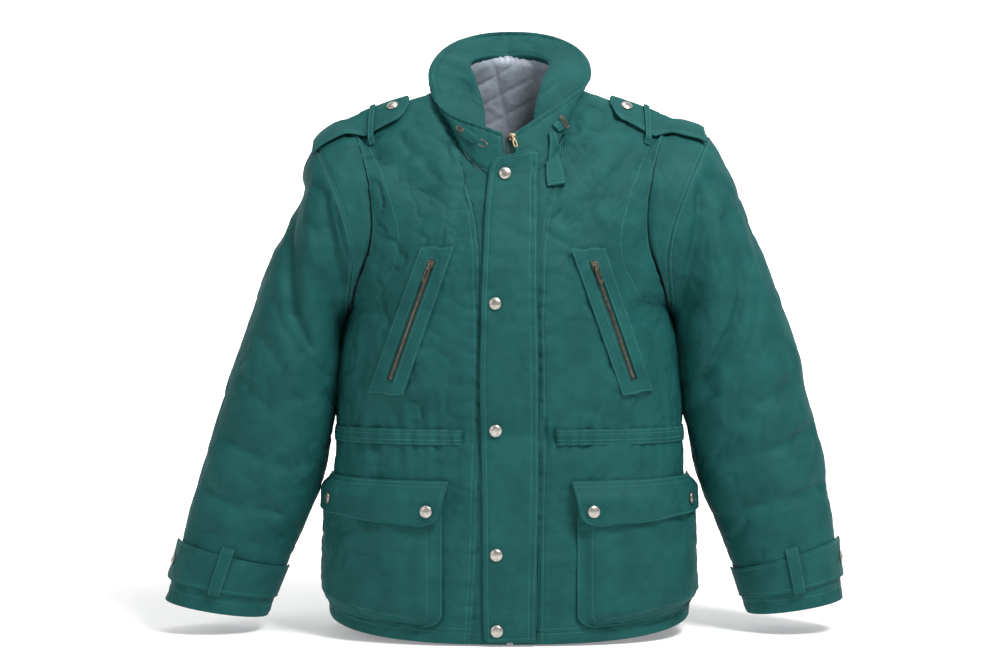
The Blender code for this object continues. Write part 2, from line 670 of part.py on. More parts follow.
def collar_piece():
    profile = np.array(COLLAR_PROFILE)
    neck = np.array(float(NECK_ROW))
    ends = turn_for_x(neck, np.linspace(COLLAR_END_X, BAND_SEAM[-1][1], BAND_CELLS + 1))
    sides = ends[-1] + (1 - ends[-1]) * np.arange(2, FRONT_CELLS, 2) / FRONT_CELLS
    behind = np.linspace(1, 2, BACK_CELLS // 2 + 1)
    half = 1 - np.concatenate((ends, sides, behind)) / 2
    around, share = grid(np.concatenate((-half, half[-2::-1])), profile[:, 0])
    turn = 2 * (1 - abs(around))

    def both(foot, lift, leaning):
        height = foot + (1 - foot) * share
        lift = np.broadcast_to(lift[:, None], turn.shape)[..., None]
        sides = []
        for side in (LEFT, RIGHT):
            lean = np.interp(turn, *np.array(COLLAR_LEAN[side], dtype=float).T) * leaning
            inward = -collar_outward(side, turn) * (lean * (1 - height))[..., None]
            sides.append(collar(side, turn, height, lift) + inward)
        return np.where((around < 0)[..., None], *sides)

    wall("collar", both(COLLAR_FOOT, profile[:, 1], 0),
         both(COLLAR_INNER_FOOT, profile[:, 2], 1), "green_cloth")


# Storm placket. columns: z, free edge x, sewn edge x
PLACKET_ROWS = (
    (-724, -27, 33), (-718, -34, 33), (-690, -34.5, 33), (-650, -35, 34), (-610, -35, 35),
    (-570, -35.5, 36), (-530, -36, 37), (-490, -36.5, 37), (-450, -37, 37), (-410, -38.5, 37),
    (-370, -38.5, 36.5), (-330, -37.5, 36), (-290, -37, 35), (-250, -35.5, 35),
    (-215, -34, 35), (-182, -33, 36), (-155, -31, 36), (-135, -29, 36), (-118, -27, 36),
    (-103, -22, 35), (-96, -12, 33),
)


def placket():
    rows = np.array(PLACKET_ROWS, dtype=float)
    share = np.linspace(0, 1, 5)[None, :]
    x = rows[:, 1][:, None] + (rows[:, 2] - rows[:, 1])[:, None] * share
    z = np.repeat(rows[:, 0][:, None], share.shape[1], axis=1)
    wall("placket", front_sheet(x, z, LAY + PLACKET_WALL), front_sheet(x, z, LAY), "green_cloth")


# Bellows pockets and flaps, as rows up the body and turns round it
POCKET_INNER_X, POCKET_OUTER_TURN = 86.0, 0.945
POCKET_LOW_ROW, POCKET_TOP_ROW = 0.55, 4.3
FLAP_INNER_X, FLAP_OUTER_TURN = 78.0, 0.967
FLAP_TOP_ROW = (5.05, 5.05)       # at the inner and the outer end
FLAP_LOW_ROW = (3.62, 3.82)
CORNER_ROUND = 0.09               # share of the pocket's width that a corner takes
POCKET_CORNER, FLAP_CORNER = 0.12, 0.2   # share of its height that a corner takes


def rounded(across, along, depth):
    """Pull a patch's sides in where a corner rounds off towards its end at along = 0."""
    corner = np.clip(1 - along / depth, 0, 1)
    inset = CORNER_ROUND / 2 * (1 - np.sqrt(1 - corner ** 2)) * 2
    return inset + across * (1 - 2 * inset)


def pockets():
    for side, word in SIDES:
        across, along = grid(np.linspace(0, 1, 11), (0, 0.05, 0.14, 0.3, 0.5, 0.7, 0.85, 1))
        row = POCKET_LOW_ROW + (POCKET_TOP_ROW - POCKET_LOW_ROW) * along
        first = turn_for_x(row, np.full(row.shape, POCKET_INNER_X))
        turn = first + (POCKET_OUTER_TURN - first) * rounded(across, along, POCKET_CORNER)
        edge = np.minimum(across, 1 - across)
        stand = LAY + 0.4 + POCKET_DEPTH * smooth(edge / 0.1) * smooth(along / 0.14)
        wall(f"pocket_{word}", over_body(side, row, turn, stand + POCKET_WALL),
             over_body(side, row, turn, stand), "green_cloth")

        across, along = grid(np.linspace(0, 1, 11), (0, 0.08, 0.24, 0.5, 0.85, 1))
        low = FLAP_LOW_ROW[0] + (FLAP_LOW_ROW[1] - FLAP_LOW_ROW[0]) * across
        top = FLAP_TOP_ROW[0] + (FLAP_TOP_ROW[1] - FLAP_TOP_ROW[0]) * across
        row = low + (top - low) * along
        first = turn_for_x(row, np.full(row.shape, FLAP_INNER_X)) + 0.03 * (1 - along)
        turn = first + (FLAP_OUTER_TURN - first) * rounded(across, along, FLAP_CORNER)
        stand = LAY + flap_stand(along)
        wall(f"flap_{word}", over_body(side, row, turn, stand + FLAP_WALL),
             over_body(side, row, turn, stand), "green_cloth")


def flap_stand(along):
    """How far a flap stands off the front, from its low edge (0) to its seam (1)."""
    return (POCKET_DEPTH + POCKET_WALL + 1.8) * smooth((1 - along) / 0.5)


# Chest zips. columns: frame corners top inner, top outer, low outer, low inner as x, z
CHEST_FRAMES = {
    LEFT: ((70, -216), (115, -218), (185, -407), (137, -409)),
    RIGHT: ((77.5, -219), (123, -219), (186.5, -403), (145, -409)),
}
SLOT_START, SLOT_END = 0.09, 0.905    # shares of the frame's length
SLOT_HALF = 4.6


def chest_line(side, share, offset=0.0):
    """x and z on a chest zip's middle line, moved outward from it by offset."""
    corners = np.array(CHEST_FRAMES[side], dtype=float)
    top, low = (corners[0] + corners[1]) / 2, (corners[3] + corners[2]) / 2
    run = (low - top) / np.linalg.norm(low - top)
    point = top + (low - top) * np.asarray(share)[..., None]
    return point + np.array((-run[1], run[0])) * np.asarray(offset)[..., None]


def chest_sheet(side, points, lift):
    return front_sheet(side * points[..., 0], points[..., 1], lift)


def chest_zips():
    for side, word in SIDES:
        corners = np.array(CHEST_FRAMES[side], dtype=float)
        share = np.array((0, SLOT_START, 0.22, 0.36, 0.5, 0.64, 0.78, SLOT_END, 1))[:, None, None]
        inner_edge = corners[0] + (corners[3] - corners[0]) * share
        outer_edge = corners[1] + (corners[2] - corners[1]) * share
        near = chest_line(side, share[..., 0], np.full(share[..., 0].shape, -SLOT_HALF))
        far = chest_line(side, share[..., 0], np.full(share[..., 0].shape, SLOT_HALF))
        points = np.concatenate((inner_edge, near, far, outer_edge), axis=1)
        cut = np.zeros((8, 3), dtype=bool)
        cut[1:7, 1] = True
        wall(f"chest_frame_{word}", chest_sheet(side, points, LAY + FRAME_WALL),
             chest_sheet(side, points, LAY), "green_cloth", cut=cut)

        stops = np.linspace(SLOT_START + 0.01, SLOT_END - 0.01, 12)
        across, share = grid((-CHAIN_HALF, CHAIN_HALF), stops)
        points = chest_line(side, share, across)
        wall(f"chest_chain_{word}", chest_sheet(side, points, LAY + 1.2),
             chest_sheet(side, points, LAY - 0.3), "gunmetal")
        up_share = SLOT_START + 0.03
        here, above = (chest_line(side, np.array(value)) for value in (up_share, SLOT_START))
        lift = LAY + FRAME_WALL + 0.5
        frame = local_frame(side * here[0], here[1], side * above[0], above[1], lift)
        slider_and_pull(f"chest_slider_{word}", f"chest_pull_{word}", frame, 0.0,
                        CHEST_PULL, "gunmetal")


def local_frame(x, z, above_x, above_z, lift, step=2.0):
    """Origin and axes (across, up, out) on the front cloth, in millimetres."""
    direction = np.array((above_x - x, above_z - z))
    direction = direction / np.linalg.norm(direction) * step
    beside = np.array((direction[1], -direction[0]))
    spots_x = np.array((x, x + direction[0], x - direction[0], x + beside[0], x - beside[0]))
    spots_z = np.array((z, z + direction[1], z - direction[1], z + beside[1], z - beside[1]))
    points = front_sheet(spots_x, spots_z, lift)
    return frame_from(points[0], points[1] - points[2], points[3] - points[4])


def frame_from(origin, upward, sideways):
    """Square axes at a point: up along the cloth, across it, and out of it."""
    up = unit(upward)
    out = unit(np.cross(sideways, up))
    across = np.cross(up, out)
    return origin, np.column_stack((across, up, out))


def place(thing, frame, offset=(0, 0, 0), tilt=0.0):
    """Put an object at a local frame, turned by tilt degrees about the outward axis."""
    origin, axes = frame
    spin = np.array(((math.cos(math.radians(tilt)), -math.sin(math.radians(tilt)), 0),
                     (math.sin(math.radians(tilt)), math.cos(math.radians(tilt)), 0), (0, 0, 1)))
    where = (origin + axes @ np.array(offset, dtype=float)) * MM
    turned = axes @ spin
    thing.matrix_world = Matrix.Translation(where) @ Matrix(turned.tolist()).to_4x4()


def prism(name, outline, low, high, look):
    """Straight solid over a flat outline given anticlockwise."""
    count = len(outline)
    points = np.array([(x, y, low) for x, y in outline] + [(x, y, high) for x, y in outline])
    faces = [tuple(range(count - 1, -1, -1)), tuple(range(count, 2 * count))]
    for index in range(count):
        following = (index + 1) % count
        faces.append((index, following, count + following, count + index))
    return add_object(name, points, faces, look)


SLIDER_HALF_WIDTH, SLIDER_HALF_LENGTH, SLIDER_HEIGHT = 4.3, 5.5, 2.4
CHEEK_INNER, CHEEK_OUTER, CHEEK_HALF_LENGTH, CHEEK_HEIGHT = 2.3, 3.4, 1.5, 2.8
PULL_AXIS = SLIDER_HEIGHT + 1.7       # height of the pull's hinge over the slider's foot
PULL_HALF_THICK = 0.6
# length, neck half width, blade half width
CHEST_PULL = (25.0, 1.4, 2.9)
MAIN_PULL = (17.0, 1.0, 2.7)


def slider_body(name, look):
    """Flat slider with two cheeks that hold the pull between them."""
    xs = (-SLIDER_HALF_WIDTH, -CHEEK_OUTER, -CHEEK_INNER, CHEEK_INNER, CHEEK_OUTER, SLIDER_HALF_WIDTH)
    ys = (-SLIDER_HALF_LENGTH, -CHEEK_HALF_LENGTH, CHEEK_HALF_LENGTH, SLIDER_HALF_LENGTH)
    heights = np.full((len(ys) - 1, len(xs) - 1), SLIDER_HEIGHT)
    heights[1, 1] = heights[1, 3] = SLIDER_HEIGHT + CHEEK_HEIGHT
    return terraces(name, xs, ys, heights, look)


def terraces(name, xs, ys, heights, look):
    """Closed solid of square columns on one foot, each with its own height."""
    points, faces, known = [], [], {}

    def vertex(x, y, z):
        key = (x, y, round(z, 6))
        if key not in known:
            known[key] = len(points)
            points.append(key)
        return known[key]

    columns, rows = len(xs) - 1, len(ys) - 1
    levels = sorted({0.0, *heights.flatten()})

    def height(row, column):
        inside = 0 <= row < rows and 0 <= column < columns
        return heights[row, column] if inside else 0.0

    for row in range(rows):
        for column in range(columns):
            x0, x1, y0, y1 = xs[column], xs[column + 1], ys[row], ys[row + 1]
            top = heights[row, column]
            faces.append(tuple(vertex(x, y, top) for x, y in ((x0, y0), (x1, y0), (x1, y1), (x0, y1))))
            faces.append(tuple(vertex(x, y, 0.0) for x, y in ((x0, y1), (x1, y1), (x1, y0), (x0, y0))))
            sides = (((x0, y0), (x1, y0), height(row - 1, column)),
                     ((x1, y0), (x1, y1), height(row, column + 1)),
                     ((x1, y1), (x0, y1), height(row + 1, column)),
                     ((x0, y1), (x0, y0), height(row, column - 1)))
            for first, second, beside in sides:
                for low, high in zip(levels, levels[1:]):
                    if low >= beside and high <= top:
                        faces.append((vertex(*first, low), vertex(*second, low),
                                      vertex(*second, high), vertex(*first, high)))
    return add_object(name, np.array(points), faces, look)


def pull_blade(name, sizes, look):
    """Zip pull whose neck turns between the slider's cheeks; its origin is the hinge."""
    length, neck, blade = sizes
    outline = [(-neck, 1.0), (-neck, -3.2), (-blade, -6.5), (-blade, -length + blade)]
    for step in range(1, 6):
        angle = math.pi + math.pi * step / 6
        outline.append((blade * math.cos(angle), -length + blade + blade * math.sin(angle)))
    outline += [(blade, -length + blade), (blade, -6.5), (neck, -3.2), (neck, 1.0)]
    return prism(name, outline, -PULL_HALF_THICK, PULL_HALF_THICK, look)


def slider_and_pull(slider_name, pull_name, frame, tilt, pull_sizes, look):
    place(slider_body(slider_name, look), frame)
    place(pull_blade(pull_name, pull_sizes, look), frame, offset=(0, 0, PULL_AXIS), tilt=tilt)


MAIN_SLIDER_Z = -73.0
MAIN_PULL_TILT = 21.0
CHAIN_LOW_Z, CHAIN_TOP_Z = -722.0, -71.0


def main_zip():
    across, z = grid((-CHAIN_HALF, CHAIN_HALF), np.linspace(CHAIN_LOW_Z, CHAIN_TOP_Z, 26))
    wall("zip_chain", front_sheet(across, z, -0.4), front_sheet(across, z, -2.0), "brass")
    frame = local_frame(0.5, MAIN_SLIDER_Z, 0.5, MAIN_SLIDER_Z + 4, 0.3)
    slider_and_pull("zip_slider", "zip_pull", frame, MAIN_PULL_TILT, MAIN_PULL, "brass")


# columns: radius, height
SNAP_PROFILE = ((SNAP_RADIUS, 0.0), (SNAP_RADIUS, 0.9), (5.2, 2.2))
SNAP_TOP = 2.6
SNAP_SIDES = 12
SNAP_GAP = 0.9         # under a cap, over the faceted cloth
HOLLOW_GAP = 2.2       # more under a cap where the placket bends hollow


def snap_cap(name, frame):
    """Low domed cap on a frame that touches its cloth."""
    points, faces = [(0, 0, 0.0)], []
    for radius, height in SNAP_PROFILE:
        for step in range(SNAP_SIDES):
            angle = 2 * math.pi * step / SNAP_SIDES
            points.append((radius * math.cos(angle), radius * math.sin(angle), height))
    points.append((0, 0, SNAP_TOP))
    top = len(points) - 1
    last_ring = 1 + (len(SNAP_PROFILE) - 1) * SNAP_SIDES
    for step in range(SNAP_SIDES):
        beside = (step + 1) % SNAP_SIDES
        faces.append((0, 1 + beside, 1 + step))
        for ring in range(len(SNAP_PROFILE) - 1):
            low = 1 + ring * SNAP_SIDES
            high = low + SNAP_SIDES
            faces.append((low + step, low + beside, high + beside, high + step))
        faces.append((last_ring + step, last_ring + beside, top))
    place(add_object(name, np.array(points), faces, "nickel"), frame)


# columns: x, z, gap
PLACKET_SNAPS = (
    (-6, -121, HOLLOW_GAP), (-18.6, -291, SNAP_GAP), (-18.2, -453, HOLLOW_GAP),
    (-17.3, -612, SNAP_GAP), (-16.6, -709, SNAP_GAP),
)


def placket_snaps():
    for index, (x, z, gap) in enumerate(PLACKET_SNAPS, start=1):
        frame = local_frame(x, z, x, z + 4, LAY + PLACKET_WALL + gap, step=SNAP_RADIUS)
        snap_cap(f"snap_placket_{index}", frame)


# share across the flap, share up it
FLAP_SNAPS = {"inner": (0.09, 0.3), "outer": (0.68, 0.36)}


def flap_snaps():
    step = 0.02
    for side, word in SIDES:
        for end, (across, along) in FLAP_SNAPS.items():
            low = FLAP_LOW_ROW[0] + (FLAP_LOW_ROW[1] - FLAP_LOW_ROW[0]) * across
            row = low + (FLAP_TOP_ROW[0] - low) * along
            first = float(turn_for_x(np.array(row), np.array(FLAP_INNER_X)))
            turn = first + (FLAP_OUTER_TURN - first) * across
            lift = LAY + flap_stand(along) + FLAP_WALL + SNAP_GAP
            here = over_body(side, row, turn, lift)
            upward = over_body(side, row + step, turn, lift) - here
            sideways = (over_body(side, row, turn + step, lift) - here) * side
            snap_cap(f"snap_flap_{word}_{end}", frame_from(here, upward, sideways))


STRAP_STATIONS = (11.95, 13.2)        # upper and lower edge of a cuff strap
STRAP_FROM, STRAP_TO = 186.0, -13.0   # degrees round the sleeve, inner end and free tip
STRAP_POINT = 15.0                    # degrees that the pointed end takes
CUFF_LOOP_AT, CUFF_LOOP_HALF = 88.0, 6.5   # degrees
CUFF_SNAP_AT = 12.0
LOOP_ROOM = 2.6        # between a strap and the loop over it


def cuff_lift(angle):
    """A cuff strap lies close and stands away towards its free end."""
    return LAY + 4.0 * smooth((20 - angle) / 30)


def cuff_straps():
    low, high = STRAP_STATIONS
    for side, word in SIDES:
        stops = np.append(np.linspace(STRAP_FROM, STRAP_TO + STRAP_POINT, 17),
                          (STRAP_TO + STRAP_POINT / 2, STRAP_TO))
        angle, share = grid(stops, (0, 0.33, 0.67, 1))
        pointed = 1 - 0.62 * np.clip((STRAP_TO + STRAP_POINT - angle) / STRAP_POINT, 0, 1)
        station = (low + high) / 2 + (high - low) * (share - 0.5) * pointed
        around, lift = np.radians(angle), cuff_lift(angle)
        wall(f"cuff_strap_{word}", sleeve(side, station, around, lift + STRAP_WALL),
             sleeve(side, station, around, lift), "green_cloth")

        angle, share = grid((CUFF_LOOP_AT - CUFF_LOOP_HALF, CUFF_LOOP_AT + CUFF_LOOP_HALF),
                            (0, 0.08, 0.16, 0.5, 0.84, 0.92, 1))
        station = low - 0.28 + (high - low + 0.42) * share
        lift = LAY + (STRAP_WALL + LOOP_ROOM) * smooth(np.minimum(share, 1 - share) / 0.1)
        around = np.radians(angle)
        wall(f"cuff_loop_{word}", sleeve(side, station, around, lift + LOOP_WALL),
             sleeve(side, station, around, lift), "green_cloth")

        middle, around = (low + high) / 2, math.radians(CUFF_SNAP_AT)
        lift = float(cuff_lift(np.array(CUFF_SNAP_AT))) + STRAP_WALL + SNAP_GAP
        here = sleeve(side, middle, around, lift)
        upward = here - sleeve(side, middle + 0.05, around, lift)
        sideways = (here - sleeve(side, middle, around + 0.05, lift)) * side
        snap_cap(f"snap_cuff_{word}", frame_from(here, upward, sideways))


# Epaulette outline, from its tip at the neck to its end on the sleeve.
# columns: x, front y, back y
EPAULETTE_ROWS = (
    (134, -24, -14), (141, -36, -2), (147, -40, 1), (163, -41, 1), (178, -41, 0),
    (187, -40.5, 0), (196, -40, 0), (207, -40, -1), (218, -42, -2), (230, -45, -3), (241, -47, -4),
    (251, -48, -5), (260, -49, -7),
)
EPAULETTE_SNAP = (156, -20)
EPAULETTE_LOOP = (178.5, 186.5)          # x of the loop's edges
EPAULETTE_LIFT = 3.6
EPAULETTE_SHARES = (0, 0.36, 0.73, 1)  # across it; the third lies over the shoulder seam
LOOP_FRONT_Y, LOOP_BACK_Y = -51.0, 8.5
LOOP_FOOT, LOOP_CROWN = 1.0, EPAULETTE_LIFT + STRAP_WALL + LOOP_ROOM - 0.8
BODY_END_X, SLEEVE_START_X = 196.0, 218.0


def height_over(side, surface, first, second, x, y):
    """Where a surface of two parameters passes over points x, y, found by Newton steps."""
    first = np.broadcast_to(first, x.shape).astype(float).copy()
    second = np.broadcast_to(second, x.shape).astype(float).copy()
    step = 0.01
    for _ in range(14):
        here = surface(side, first, second)
        by_first = (surface(side, first + step, second) - here) / step
        by_second = (surface(side, first, second + step) - here) / step
        miss_x, miss_y = side * x - here[..., 0], y - here[..., 1]
        spread = by_first[..., 0] * by_second[..., 1] - by_first[..., 1] * by_second[..., 0]
        spread = np.where(abs(spread) < 1e-6, 1e-6, spread)
        first += np.clip((miss_x * by_second[..., 1] - miss_y * by_second[..., 0]) / spread, -1, 1)
        second += np.clip((by_first[..., 0] * miss_y - by_first[..., 1] * miss_x) / spread, -0.2, 0.2)
    return surface(side, first, second)[..., 2]


def shoulder_top(side, x, y):
    """Height of the shoulder at a distance x from the centre, over body and sleeve."""
    rows = np.interp(x, (76, 110, 145, 180, 212), (23, 22, 21, 20, 19))
    on_body = height_over(side, body_base, rows, 0.92, np.minimum(x, BODY_END_X), y)
    stations = np.interp(x, (212, 236, 262), (0, 1, 2))
    on_sleeve = height_over(side, sleeve_base, stations, 0.25, np.maximum(x, SLEEVE_START_X), y)
    share = np.clip((x - BODY_END_X) / (SLEEVE_START_X - BODY_END_X), 0, 1)
    return on_body + (on_sleeve - on_body) * share


def epaulette_point(side, x, y, lift):
    """Point over the shoulder; lift is measured square to the slope."""
    step = 1.5
    top = shoulder_top(side, x, y)
    slope_x = (shoulder_top(side, x + step, y) - shoulder_top(side, x - step, y)) / (2 * step)
    slope_y = (shoulder_top(side, x, y + step) - shoulder_top(side, x, y - step)) / (2 * step)
    out = unit(np.stack((-slope_x * side, -slope_y, np.ones(np.shape(x))), axis=-1))
    return np.stack((side * x, y, top), axis=-1) + out * np.asarray(lift)[..., None]


def epaulettes():
    rows = np.array(EPAULETTE_ROWS, dtype=float)
    for side, word in SIDES:
        share = np.array(EPAULETTE_SHARES)[None, :]
        x = np.repeat(rows[:, 0][:, None], share.shape[1], axis=1)
        y = rows[:, 1][:, None] + (rows[:, 2] - rows[:, 1])[:, None] * share
        lift = np.full(x.shape, EPAULETTE_LIFT)
        wall(f"epaulette_{word}", epaulette_point(side, x, y, lift + STRAP_WALL),
             epaulette_point(side, x, y, lift), "green_cloth")

        share, x = grid((0, 0.1, 0.2, 0.44, 0.68, 0.8, 0.9, 1), EPAULETTE_LOOP)
        y = LOOP_FRONT_Y + (LOOP_BACK_Y - LOOP_FRONT_Y) * share
        rise = smooth(np.minimum(share, 1 - share) / 0.1)
        lift = LOOP_FOOT + (LOOP_CROWN - LOOP_FOOT) * rise
        wall(f"epaulette_loop_{word}", epaulette_point(side, x, y, lift + LOOP_WALL),
             epaulette_point(side, x, y, lift), "green_cloth")

        snap_x, snap_y = (np.array(float(value)) for value in EPAULETTE_SNAP)
        lift = EPAULETTE_LIFT + STRAP_WALL + SNAP_GAP / 2
        here = epaulette_point(side, snap_x, snap_y, lift)
        inward = epaulette_point(side, snap_x - 4, snap_y, lift) - here
        back = epaulette_point(side, snap_x, snap_y + 4, lift) - here
        sideways = back if side == LEFT else -back
        snap_cap(f"snap_epaulette_{word}", frame_from(here, inward, -sideways))


def sheet_ribbon(name, start, end, width, lift, thickness, cells, look):
    """Flat strap on the front cloth between two points x, z."""
    start, end = np.array(start, dtype=float), np.array(end, dtype=float)
    run = (end - start) / np.linalg.norm(end - start)
    across, share = grid((-width / 2, 0, width / 2), np.linspace(0, 1, cells + 1))
    x = start[0] + (end[0] - start[0]) * share - run[1] * across
    z = start[1] + (end[1] - start[1]) * share + run[0] * across
    wall(name, front_sheet(x, z, lift + thickness), front_sheet(x, z, lift), look)


def ring_plate(name, half_length, half_width, bar, thick, power, frame, tilt):
    """Flat metal ring or square buckle frame, long across its own frame."""
    cells = 16
    rings = []
    for length, width in ((half_length, half_width), (half_length - bar, half_width - bar)):
        for height in (0.0, thick):
            angle = np.linspace(0, 2 * math.pi, cells, endpoint=False)
            reach = (abs(np.cos(angle)) ** power + abs(np.sin(angle)) ** power) ** (-1 / power)
            rings.append(np.stack((length * np.cos(angle) * reach, width * np.sin(angle) * reach,
                                   np.full(cells, height)), axis=-1))
    made = wall(name, np.stack((rings[0], rings[1])), np.stack((rings[2], rings[3])),
                "gunmetal", ring=True)
    place(made, frame, tilt=tilt)


# Throat strap and its hardware on each side of the collar; x and z on the front cloth
STRAP_LEFT_START, STRAP_LEFT_END = (-64, -60), (-40.6, -77)
STRAP_RIGHT_START, STRAP_RIGHT_END = (65, -52), (57.5, -59)
TAB_START, TAB_END = (50, -66), (61, -137)
TAB_WIDTH, TAB_WALL = 25.0, 3.0
THROAT_WIDTH = 12.0


def throat_strap():
    lift = LAY
    sheet_ribbon("throat_strap_left", STRAP_LEFT_START, STRAP_LEFT_END, THROAT_WIDTH,
                 lift, STRAP_WALL, 4, "green_cloth")
    sheet_ribbon("throat_strap_right", STRAP_RIGHT_START, STRAP_RIGHT_END, THROAT_WIDTH,
                 lift + 0.8, STRAP_WALL, 3, "green_cloth")
    sheet_ribbon("throat_tab", TAB_START, TAB_END, TAB_WIDTH, lift + 0.4, TAB_WALL, 8, "green_cloth")
    above = lift + STRAP_WALL + 0.5
    ring_plate("throat_bar_left", 6.5, 3.4, 1.5, 1.4, 6, local_frame(-62, -61, -58, -56, above), 0)
    ring_plate("throat_ring_left", 7.5, 4.6, 1.6, 1.5, 2.2, local_frame(-34.5, -80.6, -38.5, -77.6, lift - 0.5), 90)
    ring_plate("throat_buckle_right", 9.5, 4.2, 1.8, 1.6, 5, local_frame(67, -50, 71, -45, above + 0.8), 0)


def build():
    clear_scene()
    front_panels()
    back_panel()
    back_neck_lining()
    sleeves()
    collar_piece()
    placket()
    waist_casings()
    pockets()
    chest_zips()
    main_zip()
    placket_snaps()
    flap_snaps()
    cuff_straps()
    epaulettes()
    throat_strap()


build()
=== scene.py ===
"""Looks of the padded parka: every cloth piece as a soft shell with its seams, stitches, folds and
puckers, and every metal piece in finer form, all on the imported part's frame.

The tables and surfaces down to the throat strap are those of the part's source, so that what
shows lies on the solids. Lengths are millimetres.
"""
import json
import math

import bmesh
import bpy
import numpy as np
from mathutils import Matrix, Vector

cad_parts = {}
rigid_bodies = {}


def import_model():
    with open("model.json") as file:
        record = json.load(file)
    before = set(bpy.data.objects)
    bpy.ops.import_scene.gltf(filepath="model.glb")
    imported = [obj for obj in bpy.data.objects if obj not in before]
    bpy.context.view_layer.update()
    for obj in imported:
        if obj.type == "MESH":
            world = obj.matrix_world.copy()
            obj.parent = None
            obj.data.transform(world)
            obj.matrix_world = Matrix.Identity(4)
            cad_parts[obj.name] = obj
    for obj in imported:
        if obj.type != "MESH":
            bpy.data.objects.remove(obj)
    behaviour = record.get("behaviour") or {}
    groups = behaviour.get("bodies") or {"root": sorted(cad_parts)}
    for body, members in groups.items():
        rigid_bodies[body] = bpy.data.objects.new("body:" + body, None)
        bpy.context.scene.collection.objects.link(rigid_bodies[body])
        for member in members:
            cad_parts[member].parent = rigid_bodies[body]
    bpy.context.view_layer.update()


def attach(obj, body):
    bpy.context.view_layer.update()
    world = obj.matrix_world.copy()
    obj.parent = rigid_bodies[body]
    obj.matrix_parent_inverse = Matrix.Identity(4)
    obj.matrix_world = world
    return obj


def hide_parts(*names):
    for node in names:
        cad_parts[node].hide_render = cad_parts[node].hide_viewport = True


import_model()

MM = 0.001
COAT = "coat"

# Camera: level, in front, at the photograph's distance and height
CAMERA_AT = (-0.0075, -2.6, -0.332)
LENS, SENSOR = 68.4, 36.0
camera = bpy.data.objects.new("camera", bpy.data.cameras.new("camera"))
camera.location = CAMERA_AT
camera.rotation_euler = (math.radians(90), 0, 0)
camera.data.lens = LENS
camera.data.sensor_width = SENSOR
bpy.context.scene.collection.objects.link(camera)
bpy.context.scene.camera = camera

# Driving sizes
SHELL = 4.0          # body wall: shell cloth, wadding and lining
SLEEVE_WALL = 3.5
COLLAR_WALL = 6.5
LINING_WALL = 1.2
PLACKET_WALL = 4.0
FLAP_WALL = 3.0
POCKET_WALL = 2.0
STRAP_WALL = 2.5
LOOP_WALL = 1.5
FRAME_WALL = 1.6
LAY = 0.8            # under a piece that lies on a panel
SNAP_RADIUS = 7.9
ZIP_HALF = 4.0       # half the opening between the zip bands
POCKET_DEPTH = 9.0   # how far a bellows pocket stands off the front

LEFT, RIGHT = -1, 1
SIDES = ((LEFT, "left"), (RIGHT, "right"))

# Body sections from hem to neck. Each runs from the centre to the side seam, then to the
# armhole edge (rows 13 to 18), then to the shoulder seam (rows 19 to 22) and the neck side.
# swing: how much of a quarter turn the section makes; power: squareness of its corner;
# rise: how late its height changes.
ARMPIT_ROW, SHOULDER_ROW, NECK_ROW = 12, 19, 23
# columns: mid_y, mid_z, edge_x, edge_y, edge_z, swing, power, rise
FRONT_ROWS = (
    (-152.0, -727, 243.0, 0, -700, 90, 2.5, 1.3),
    (-151.0, -690, 242.5, 0, -667, 90, 2.5, 1.3),
    (-150.5, -650, 241.5, 0, -632, 90, 2.5, 1.3),
    (-150.0, -605, 240.0, 0, -593, 90, 2.5, 1.3),
    (-148.5, -560, 238.5, 0, -552, 90, 2.5, 1.3),
    (-147.0, -520, 237.0, 0, -516, 90, 2.5, 1.3),
    (-144.5, -487, 235.5, 0, -485, 90, 2.5, 1.3),
    (-142.5, -462, 234.0, 0, -461, 90, 2.5, 1.3),
    (-144.5, -437, 233.0, 0, -436, 90, 2.5, 1.3),
    (-148.0, -405, 231.0, 0, -403, 90, 2.5, 1.3),
    (-151.0, -370, 228.5, 0, -366, 90, 2.45, 1.3),
    (-152.5, -338, 224.5, 0, -331, 90, 2.45, 1.3),
    (-152.5, -311, 216.0, 0, -300, 90, 2.4, 1.3),
    (-151.5, -290, 207.0, -60, -280, 66, 2.4, 1.3),
    (-150.0, -268, 197.0, -84, -252, 59, 2.4, 1.3),
    (-147.5, -245, 184.0, -98, -215, 53, 2.4, 1.4),
    (-143.0, -220, 181.0, -100, -172, 50, 2.4, 1.5),
    (-137.5, -198, 190.0, -85, -112, 48, 2.35, 1.6),
    (-133.0, -182, 203.0, -45, -66, 50, 2.3, 1.8),
    (-128.5, -168, 212.0, -10, -42, 54, 2.3, 2.0),
    (-124.0, -157, 180.0, -11, -27, 60, 2.3, 2.0),
    (-119.5, -147, 145.0, -11, -15, 69, 2.3, 1.8),
    (-115.0, -136, 110.0, -10, -5, 80, 2.4, 1.4),
    (-110.0, -124, 74.0, -8, -1, 90, 2.6, 1.0),
)
